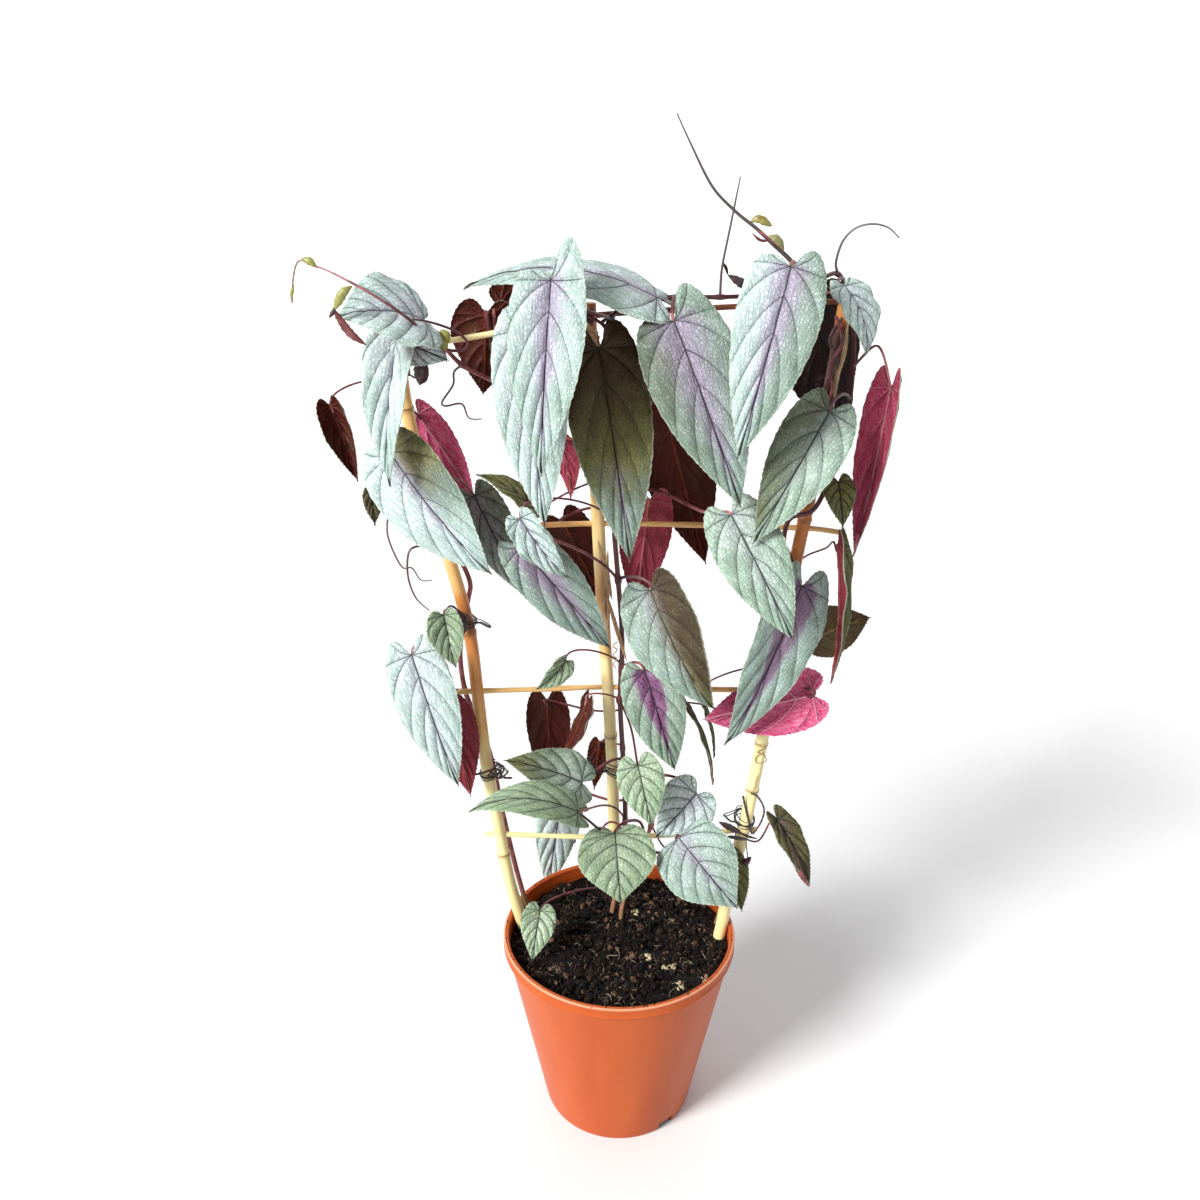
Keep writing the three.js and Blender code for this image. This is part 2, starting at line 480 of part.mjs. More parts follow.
// Stations and radii of a cane, a little thicker at each node
function caneRod(name) {
  const { buried, foot, seen: shown, nodes } = CANES[name];
  const knots = [new THREE.Vector3(...buried), new THREE.Vector3(...foot), ...shown.map(seen)];
  const curve = curveThrough(knots);
  const spans = knots.length - 1;
  const places = knots.map((_, index) => [index, 1]);
  for (const node of nodes) {
    places.push([node - NODE_REACH, 1], [node, NODE_SWELL], [node + NODE_REACH, 1]);
  }
  places.sort((one, other) => one[0] - other[0]);
  return {
    points: places.map(([place]) => curve.getPoint(place / spans)),
    radii: places.map(([, swell]) => CANE_RADIUS * swell),
  };
}

// Stations and radii of a bar
function barRod(name) {
  const points = stations(curveThrough(BARS[name].map(seen)), BARS[name].length + 1);
  return { points, radii: points.map(() => BAR_RADIUS) };
}

// Cane with the holes that the bars run through
function caneSolid(name) {
  const { points, radii } = caneRod(name);
  let solid = toSolid(rod(points, radii, CANE_SIDES));
  for (const bar of Object.keys(BARS)) {
    const hole = barRod(bar);
    solid = solid.subtract(toSolid(bore(hole.points, hole.radii, BAR_SIDES)));
  }
  return mainBody(solid);
}

function barSolid(name) {
  const { points, radii } = barRod(name);
  return toSolid(rod(points, radii, BAR_SIDES));
}

// The middle line of a stem
function stemCurve(name) {
  return curveThrough([new THREE.Vector3(...STEMS[name].buried), ...STEMS[name].seen.map(seen)]);
}

// Stations and radii of a stem
function stemRod(name) {
  const points = stations(stemCurve(name), STEMS[name].seen.length * 2);
  const [thick, thin] = STEM_TAPER;
  return { points, radii: taper(points.length, STEM_RADIUS * thick, STEM_RADIUS * thin) };
}

// The place on a stem where something grows, counted in the stem's points
function placeOn(name, grows) {
  return stemCurve(name).getPoint(grows / STEMS[name].seen.length);
}

// Shoot or tendril, with its root inside the stem
function shootSolid(shoot) {
  const points = stations(curveThrough([placeOn(shoot.vine, shoot.grows), ...shoot.seen.map(seen)]),
    shoot.seen.length * 2);
  return toSolid(rod(points, taper(points.length, shoot.radius, shoot.tip), THREAD_SIDES));
}

// Where a blade lies: its base, and the directions along it, to its side and out of its upper face
function bladeFrame(leaf) {
  const base = seen(leaf.base);
  const along = seen(leaf.tip).sub(base);
  const length = along.length();
  along.divideScalar(length);
  const view = new THREE.Vector3(0, Math.cos(EYE_PITCH), -Math.sin(EYE_PITCH));
  const facing = view.clone().negate().addScaledVector(along, view.dot(along)).normalize();
  const across = new THREE.Vector3().crossVectors(facing, along);
  const roll = THREE.MathUtils.degToRad(leaf.roll);
  const normal = facing.multiplyScalar(Math.cos(roll)).addScaledVector(across, Math.sin(roll));
  const side = new THREE.Vector3().crossVectors(normal, along);
  return { base, along, side, normal, length };
}

// The place of a point of the flat blade once it is bowed, folded along the midrib, cupped and waved
function bladePoint(leaf, frame, [x, y]) {
  const t = x / frame.length;
  const out = Math.abs(y) / (leaf.wide / 2);
  const fold = THREE.MathUtils.degToRad(leaf.fold);
  const ripple = Math.sin(2 * Math.PI * (WAVE_COUNT * t + leaf.phase + 0.25 * Math.sign(y)));
  const height = leaf.bow * 4 * t * (1 - t) + Math.abs(y) * Math.sin(fold)
    + out * out * ((leaf.wave ?? WAVE) * ripple - CUP);
  return frame.base.clone()
    .addScaledVector(frame.along, x)
    .addScaledVector(frame.side, y * Math.cos(fold))
    .addScaledVector(frame.normal, height);
}

// The direction out of the upper face at a point of the flat blade
function bladeNormal(leaf, frame, [x, y]) {
  if (y === 0) {
    return frame.normal;
  }
  const step = Math.sign(y) * SLOPE_STEP;
  const here = bladePoint(leaf, frame, [x, y]);
  const ahead = bladePoint(leaf, frame, [x + SLOPE_STEP, y]).sub(here);
  const outward = bladePoint(leaf, frame, [x, y + step]).sub(here);
  return ahead.cross(outward).multiplyScalar(Math.sign(y)).normalize();
}

// Flat pattern of half a blade: rows of points on the midrib, half way out and on the toothed margin
function bladeRows(leaf, length, side) {
  const knots = OUTLINES[leaf.shape ?? "long"].map((knot) => new THREE.Vector2(...knot));
  const outline = new THREE.SplineCurve(knots);
  const spans = 2 * THREE.MathUtils.clamp(Math.round(length / BLADE_STEP), 3, 6);
  const rows = [[], [], []];
  for (let index = 0; index <= spans; index += 1) {
    const share = index / spans;
    const knot = outline.getPoint(share);
    const reach = knot.x < 0 ? (leaf.lobes ?? LOBES)[side] : 1;
    const margin = new THREE.Vector2(knot.x * reach * length, (knot.y * leaf.wide) / 2);
    const start = length * Math.max(0, (share - VEIN_FAN) / (1 - VEIN_FAN));
    const bend = new THREE.Vector2(start + VEIN_LEAN * (margin.x - start), VEIN_SPREAD * margin.y);
    const middle = [0.25 * start + 0.5 * bend.x + 0.25 * margin.x, 0.5 * bend.y + 0.25 * margin.y];
    const tooth = index % 2 === 1 ? 1 + TOOTH_DEPTH / (leaf.wide / 2) : 1;
    rows[2].push([margin.x, margin.y * tooth]);
    if (index % 2 === 0) {
      rows[0].push([start, 0]);
      rows[1].push(middle);
    }
  }
  return rows;
}

// Triangles of the flat half blade, counterclockwise, as points
function halfTriangles([midrib, middle, margin]) {
  const triangles = [];
  for (let index = 0; index + 1 < midrib.length; index += 1) {
    const [edge, crest, nextEdge] = margin.slice(index * 2, index * 2 + 3);
    triangles.push([midrib[index], midrib[index + 1], middle[index + 1]]);
    triangles.push([midrib[index], middle[index + 1], middle[index]]);
    triangles.push([middle[index], crest, edge]);
    triangles.push([middle[index], middle[index + 1], crest]);
    triangles.push([middle[index + 1], nextEdge, crest]);
  }
  return triangles;
}

// Blade: two faces with the same triangles, closed by a rim along the margin
function bladeSolid(leaf) {
  const frame = bladeFrame(leaf);
  const [half, mirrored] = [0, 1].map((side) => halfTriangles(bladeRows(leaf, frame.length, side)));
  const other = mirrored.map((triangle) => triangle.map(([x, y]) => [x, y === 0 ? 0 : -y]).reverse());
  const keyOf = ([x, y]) => `${x.toFixed(4)} ${y.toFixed(4)}`;
  const upper = new Map();
  const lower = new Map();
  const faces = [];
  for (const triangle of [...half, ...other]) {
    const keys = triangle.map(keyOf);
    if (new Set(keys).size === 3) {
      faces.push(keys);
    }
    triangle.forEach((point, corner) => {
      if (!upper.has(keys[corner])) {
        const place = bladePoint(leaf, frame, point);
        const normal = bladeNormal(leaf, frame, point);
        upper.set(keys[corner], place.clone().addScaledVector(normal, BLADE_THICKNESS / 2));
        lower.set(keys[corner], place.clone().addScaledVector(normal, -BLADE_THICKNESS / 2));
      }
    });
  }
  const edgesOf = ([a, b, c]) => [[a, b], [b, c], [c, a]];
  const edges = new Set(faces.flatMap(edgesOf).map((edge) => edge.join("|")));
  const corners = [];
  for (const face of faces) {
    const [a, b, c] = face;
    corners.push(upper.get(a), upper.get(b), upper.get(c), lower.get(c), lower.get(b), lower.get(a));
    for (const [from, to] of edgesOf(face)) {
      if (!edges.has(`${to}|${from}`)) {
        corners.push(upper.get(from), lower.get(from), lower.get(to));
        corners.push(upper.get(from), lower.get(to), upper.get(to));
      }
    }
  }
  return toSolid(new THREE.BufferGeometry().setFromPoints(corners));
}

// Petiole: from inside the stem, up and over to the base of the blade and along under its midrib
function petioleSolid(leaf) {
  const { base, along, normal } = bladeFrame(leaf);
  const root = placeOn(leaf.vine, leaf.grows);
  const end = bladePoint(leaf, bladeFrame(leaf), [PETIOLE_UNDER_BLADE, 0]);
  end.addScaledVector(normal, -BLADE_THICKNESS / 2);
  let points;
  if (leaf.via) {
    const under = base.clone().addScaledVector(normal, -PETIOLE_RADIUS * 3);
    under.addScaledVector(along, -PETIOLE_RADIUS * 3);
    points = stations(curveThrough([root, ...leaf.via.map(seen), under, end]), leaf.via.length * 2 + 4);
  } else {
    const span = base.distanceTo(root);
    const up = new THREE.Vector3(0, 0, 1);
    const leaving = root.clone().lerp(base, PETIOLE_ARCH).addScaledVector(up, PETIOLE_ARCH * span);
    const arriving = base.clone().addScaledVector(up, PETIOLE_ARCH * 0.4 * span)
      .addScaledVector(normal, -Math.min(PETIOLE_ARCH * 1.2 * span, PETIOLE_DROP))
      .addScaledVector(along, -PETIOLE_ARCH * 0.5 * span);
    const joint = base.clone().addScaledVector(normal, -PETIOLE_RADIUS * 0.6);
    points = [...stations(new THREE.CubicBezierCurve3(root, leaving, arriving, joint), 4), end];
  }
  const radius = PETIOLE_RADIUS * THREE.MathUtils.clamp(leaf.wide / USUAL_WIDTH, ...PETIOLE_SHARES);
  return toSolid(rod(points, taper(points.length, radius * PETIOLE_ROOT, radius), THREAD_SIDES));
}

// Vine: one stem with the shoots, petioles and blades that grow on it
function vineSolid(name) {
  const { points, radii } = stemRod(name);
  let solid = toSolid(rod(points, radii, STEM_SIDES));
  for (const shoot of SHOOTS.filter((row) => row.vine === name)) {
    solid = solid.add(shootSolid(shoot));
  }
  for (const leaf of LEAVES.filter((row) => row.vine === name)) {
    solid = solid.add(petioleSolid(leaf)).add(bladeSolid(leaf));
  }
  return mainBody(solid);
}

// The station of a rod's middle line at a height
function atHeight(curve, height) {
  const miss = (place) => Math.abs(place.z - height);
  return stations(curve, 400).reduce((best, place) => (miss(place) < miss(best) ? place : best));
}

// Tie: an oval of wire round a cane and the stem beside it, with its ends turned aside
function tieSolid(name) {
  const tie = TIES[name];
  const height = seen(tie.at).z;
  const cane = atHeight(curveThrough(caneRod(tie.cane).points), height);
  const stem = atHeight(stemCurve(tie.vine), height);
  const apart = stem.clone().sub(cane).setZ(0);
  const middle = cane.clone().lerp(stem, 0.5).setZ(height);
  const long = apart.clone().normalize();
  const short = new THREE.Vector3(-long.y, long.x, 0);
  const reach = apart.length() / 2 + CANE_RADIUS + TIE_ROOM;
  const width = CANE_RADIUS + TIE_ROOM + WIRE_RADIUS * 1.5;
  const loop = (turn) => middle.clone()
    .addScaledVector(long, reach * Math.cos(turn))
    .addScaledVector(short, width * Math.sin(turn));
  let solid = null;
  for (const start of [0, Math.PI]) {
    const points = Array.from({ length: TIE_STATIONS + 1 }, (_, index) => loop(start + index * TIE_TURN));
    const half = toSolid(rod(points, points.map(() => WIRE_RADIUS), THREAD_SIDES));
    solid = solid ? solid.add(half) : half;
  }
  const end = seen(tie.end);
  const nearest = Array.from({ length: TIE_STATIONS * 4 }, (_, index) => loop(index * TIE_TURN * 0.5))
    .reduce((best, place) => (place.distanceTo(end) < best.distanceTo(end) ? place : best));
  const crest = nearest.clone().lerp(end, 0.5).setZ(height + TIE_ROOM);
  const tail = stations(curveThrough([nearest, crest, end]), 4);
  return mainBody(solid.add(toSolid(rod(tail, tail.map(() => WIRE_RADIUS), THREAD_SIDES))));
}

// Materials, one for each kind of piece
const FINISHES = {
  plastic: { color: "#cf6a40", roughness: 0.55, metalness: 0 },
  soil: { color: "#2c221e", roughness: 1, metalness: 0 },
  bamboo: { color: "#d3b67a", roughness: 0.5, metalness: 0 },
  wire: { color: "#1c1a1a", roughness: 0.6, metalness: 0 },
  foliage: { color: "#8fab9f", roughness: 0.6, metalness: 0 },
};

const model = new THREE.Group();

function place(name, solid, finish) {
  const mesh = new THREE.Mesh(fromSolid(solid), new THREE.MeshStandardMaterial(FINISHES[finish]));
  mesh.name = name;
  model.add(mesh);
}

place("pot", potSolid(), "plastic");
place("soil", soilSolid(), "soil");
for (const name of Object.keys(CANES)) {
  place(name, caneSolid(name), "bamboo");
}
for (const name of Object.keys(BARS)) {
  place(name, barSolid(name), "bamboo");
}
for (const name of Object.keys(TIES)) {
  place(name, tieSolid(name), "wire");
}
for (const name of Object.keys(STEMS)) {
  place(name, vineSolid(name), "foliage");
}

export default model;
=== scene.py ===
"""Looks for a rex begonia vine that climbs a bamboo fan trellis in a terracotta-coloured nursery pot.

Lengths are in mm until a mesh is written, which is in metres. +Z is up, the origin is the middle of the
pot's base, and the trellis faces -Y.
"""
import logging
import math
from collections.abc import Callable, Iterable, Sequence
from dataclasses import dataclass, field
from enum import Enum
from functools import partial

import bpy
import numpy as np
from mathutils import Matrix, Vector


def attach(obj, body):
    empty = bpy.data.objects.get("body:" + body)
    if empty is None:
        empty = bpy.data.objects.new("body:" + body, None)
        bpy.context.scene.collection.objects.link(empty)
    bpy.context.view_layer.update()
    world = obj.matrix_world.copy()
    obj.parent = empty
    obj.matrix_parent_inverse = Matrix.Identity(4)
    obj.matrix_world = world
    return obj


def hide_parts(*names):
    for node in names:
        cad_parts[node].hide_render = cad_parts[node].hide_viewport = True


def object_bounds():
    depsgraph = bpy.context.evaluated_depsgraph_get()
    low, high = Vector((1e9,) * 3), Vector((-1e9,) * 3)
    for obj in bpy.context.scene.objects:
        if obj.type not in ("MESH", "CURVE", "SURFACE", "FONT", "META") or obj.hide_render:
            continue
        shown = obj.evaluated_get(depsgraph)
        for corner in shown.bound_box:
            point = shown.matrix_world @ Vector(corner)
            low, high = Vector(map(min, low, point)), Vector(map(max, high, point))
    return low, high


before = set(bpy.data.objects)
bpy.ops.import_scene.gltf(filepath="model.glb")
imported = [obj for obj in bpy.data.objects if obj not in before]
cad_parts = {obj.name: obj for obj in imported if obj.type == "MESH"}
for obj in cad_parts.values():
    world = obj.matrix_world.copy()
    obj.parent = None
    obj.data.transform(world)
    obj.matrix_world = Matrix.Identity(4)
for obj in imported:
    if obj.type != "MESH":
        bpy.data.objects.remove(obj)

CAD_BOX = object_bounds()
LOG = logging.getLogger("potted_vine")
MM = 0.001
SEED = 41

Point = tuple[float, float, float]
Array = np.ndarray

# Where the picture was taken from: its eye in mm, its pitch, and its focal length for a frame 1200 wide
EYE = np.array([-14.0, -613.0, 624.0])
PITCH = math.radians(19.9)
FRAME_MIDDLE = 600
FOCAL_LENGTH = 1000
AHEAD = np.array([0.0, math.cos(PITCH), -math.sin(PITCH)])
SIDEWAYS = np.array([1.0, 0.0, 0.0])
UPWARD = np.array([0.0, math.sin(PITCH), math.cos(PITCH)])
UP = np.array([0.0, 0.0, 1.0])

# Soil, canes and blades, as in the solids
SOIL_LEVEL = 134.0
CANE_RADIUS = 4.4
USUAL_WIDTH = 40.0
WAVE = 1.2

# Veins of a half blade are counted from 0 or from this, and a leaf takes up both halves
SIDE_COUNT = 16


@dataclass(frozen=True)
class PotForm:
    """Sizes of the pot in mm, as in the solids.

    Attributes:
        height: of the pot, and band that of the band round its rim.
        rim: radius of the rim, and rim_round that of its edge.
        wall_top: radius of the wall under the band, foot at foot_height and base at the bottom.
        wall: thickness of the wall, and floor that of the floor.
        notches: how many the foot has, the first at notch_turn degrees, each a box of the next three sizes.
        drains: how many holes the floor has, of drain_radius, on a ring of radius drain_ring.
    """

    height: float = 145.0
    band: float = 8.5
    rim: float = 85.0
    rim_round: float = 1.2
    wall_top: float = 82.6
    foot: float = 56.5
    foot_height: float = 5.0
    base: float = 54.5
    wall: float = 1.6
    floor: float = 3.0
    notches: int = 3
    notch_turn: float = -52.0
    notch_depth: float = 5.0
    notch_width: float = 13.0
    notch_height: float = 7.0
    drains: int = 5
    drain_radius: float = 5.0
    drain_ring: float = 34.0

    def outside(self, height: float) -> float:
        """Radius of the outer wall at a height, from the foot to the band."""
        share = (height - self.foot_height) / (self.height - self.band - self.foot_height)
        return self.foot + share * (self.wall_top - self.foot)

    def inside(self, height: float) -> float:
        """Radius of the inner wall at a height."""
        return self.outside(height) - self.wall


class Vine(Enum):
    """The four stems that come out of the soil, by the node that holds them."""

    LEFT = "vine_left"
    MIDDLE = "vine_middle"
    RIGHT = "vine_right"
    LOW = "vine_low"


LEFT, MIDDLE, RIGHT, LOW = Vine


class Shape(Enum):
    """Outline of a blade."""

    LONG = "long"
    HEART = "heart"
    LOBED = "lobed"
    ROUND = "round"


@dataclass(frozen=True)
class Tint:
    """How a blade is coloured: each share runs from 0 to 1.

    Attributes:
        shade: from pale mint through sage to olive brown on the upper face, partly the leaf's own colour and
            partly painted shade. Over 0.9 it darkens the underside, as painted shade.
        lilac: strength of the lilac zone beside the midrib.
        purple: strength of the narrow purple band on the midrib.
        crimson: from olive brown through dark maroon at 0.25 to bright crimson at 1, on the underside.
        to_tip: how much more shade the tip has than the base, partly painted shade.
        to_side: how much more shade the half on the picture's right has than the other, partly painted shade.
        broad: width of the lilac zone, as a share of the half blade.
        tip_lilac: how much more lilac the tip has than the base.
    """

    shade: float
    lilac: float = 0.0
    purple: float = 0.0
    crimson: float = 0.5
    to_tip: float = 0.0
    to_side: float = 0.0
    broad: float = 0.45
    tip_lilac: float = 0.0


class Tone(Enum):
    """The colourings that the leaves of this vine show."""

    MINT = Tint(0.0, 0.3)
    SILVER = Tint(0.08, 0.6, broad=0.4)
    LILAC = Tint(0.08, 1.0, broad=0.55)
    DEEP_LILAC = Tint(0.14, 1.0, broad=0.6, to_side=0.34)
    DUSK = Tint(0.42, 1.0, broad=0.75, to_tip=-0.12, to_side=-0.14)
    PALE_GREEN = Tint(0.17)
    SILVER_GREEN = Tint(0.26, 0.6, broad=0.35)
    SAGE = Tint(0.3)
    MOSS = Tint(0.66)
    PALE_SAGE = Tint(0.18, 0.2)
    GREY = Tint(0.3, 1.0, 0.3, 0.8, broad=0.75)
    OLIVE = Tint(1.02, 0.0, to_tip=-0.66, tip_lilac=1.0)
    OLIVE_TOP = Tint(0.37, 0.6, to_tip=-0.9, to_side=0.72, broad=0.4)
    OLIVE_TIP = Tint(0.2, 0.15, to_tip=0.45)
    HALF_BROWN = Tint(0.66, 0.35, to_side=0.66)
    HALF_OLIVE = Tint(0.34, 0.2, to_side=-0.34)
    ASH = Tint(0.46, 0.4, broad=0.5, to_tip=-0.2)
    BRONZE = Tint(0.75, 0.3)
    BROWN = Tint(0.9, 0.3)
    PURPLE = Tint(0.26, 0.3, 0.9)
    MAGENTA = Tint(0.3, 0.2, 1.0, 0.9)
    MAROON = Tint(0.9, crimson=0.2)
    # Maroon darkened nearly to black by painted shade, for a leaf deep among the others
    SHADOWED_MAROON = Tint(1.6, crimson=0.2)
    RED_MAROON = Tint(0.9, crimson=0.5)
    RUSSET = Tint(0.8, crimson=0.0)
    CRIMSON = Tint(0.5, crimson=0.78)
    DULL_CRIMSON = Tint(0.5, crimson=0.65)
    BRIGHT_CRIMSON = Tint(0.5, crimson=1.0)


@dataclass(frozen=True)
class Leaf:
    """One leaf. base is where the petiole meets the blade and tip is the blade's point.

    Attributes:
        name: what the leaf is called.
        vine: the stem that it grows on.
        grows: the place on the stem, counted in the stem's points.
        base: [u, v, y] of the blade's base, and tip of its point.
        wide: width in mm, and bow the rise of the middle over its ends.
        roll: turn round its length in degrees, near 180 where the underside shows.
        fold: how far each half is folded up, in degrees.
        wave: how far its margin waves, in mm.
        lobes: how far the lobes beside the petiole reach back, on the picture's right and left.
        via: where the petiole passes on its way.
        tone: its colouring.
    """

    name: str
    vine: Vine
    grows: float
    base: Point
    tip: Point
    wide: float
    roll: float
    fold: float
    bow: float
    tone: Tone
    shape: Shape = Shape.LONG
    wave: float = WAVE
    lobes: tuple[float, float] = (1.0, 1.0)
    via: tuple[Point, ...] = ()


@dataclass(frozen=True)
class Stem:
    """A stem: its buried root end in mm, [u, v, y] up the stem, and the colour of its skin, as in Shoot."""

    buried: Point
    skin: float
    seen: tuple[Point, ...]


@dataclass(frozen=True)
class Cane:
    """A cane: its nodes counted in its points, its buried end and foot in mm, then [u, v, y] up the cane.

    Attributes:
        tans_and_shade: how dark its rind is at some heights in mm, from 0 straw through 0.7 brown to 1.5
            nearly black, where over 1 is painted shade.
    """

    nodes: tuple[float, ...]
    tans_and_shade: tuple[tuple[float, float], ...]
    buried: Point
    foot: Point
    seen: tuple[Point, ...]


@dataclass(frozen=True)
class Tie:
    """A wire round a cane and a stem: where its loop sits, where it ends, and its second strand's turns."""

    cane: str
    vine: Vine
    at: Point
    end: Point
    turns: int = 3


@dataclass(frozen=True)
class Shoot:
    """A shoot or tendril, from its place on a stem through [u, v, y], with its radius at the root and tip.

    Attributes:
        skin: colour of its skin at the root and at the tip, from 0 maroon through 0.5 pink to 1 green.
        dry: share of grey in its skin.
    """

    grows: float
    radius: float
    tip: float
    seen: tuple[Point, ...]
    skin: tuple[float, float] = (0.1, 0.2)
    dry: float = 0.0


@dataclass(frozen=True)
class Trim:
    """A bud, bract, knot or scrap of sheath on a vine, along [u, v, y] points.

    Attributes:
        wide: half its width in mm, and flat its thickness as a share of its width.
        skin: colour of its skin as in Shoot, and dry the share of grey in it.
        even: it keeps its width instead of tapering to both ends.
        sheath: it is made of dry sheath.
    """

    wide: float
    skin: float
    seen: tuple[Point, ...]
    flat: float = 0.5
    dry: float = 0.0
    even: bool = False
    sheath: bool = False


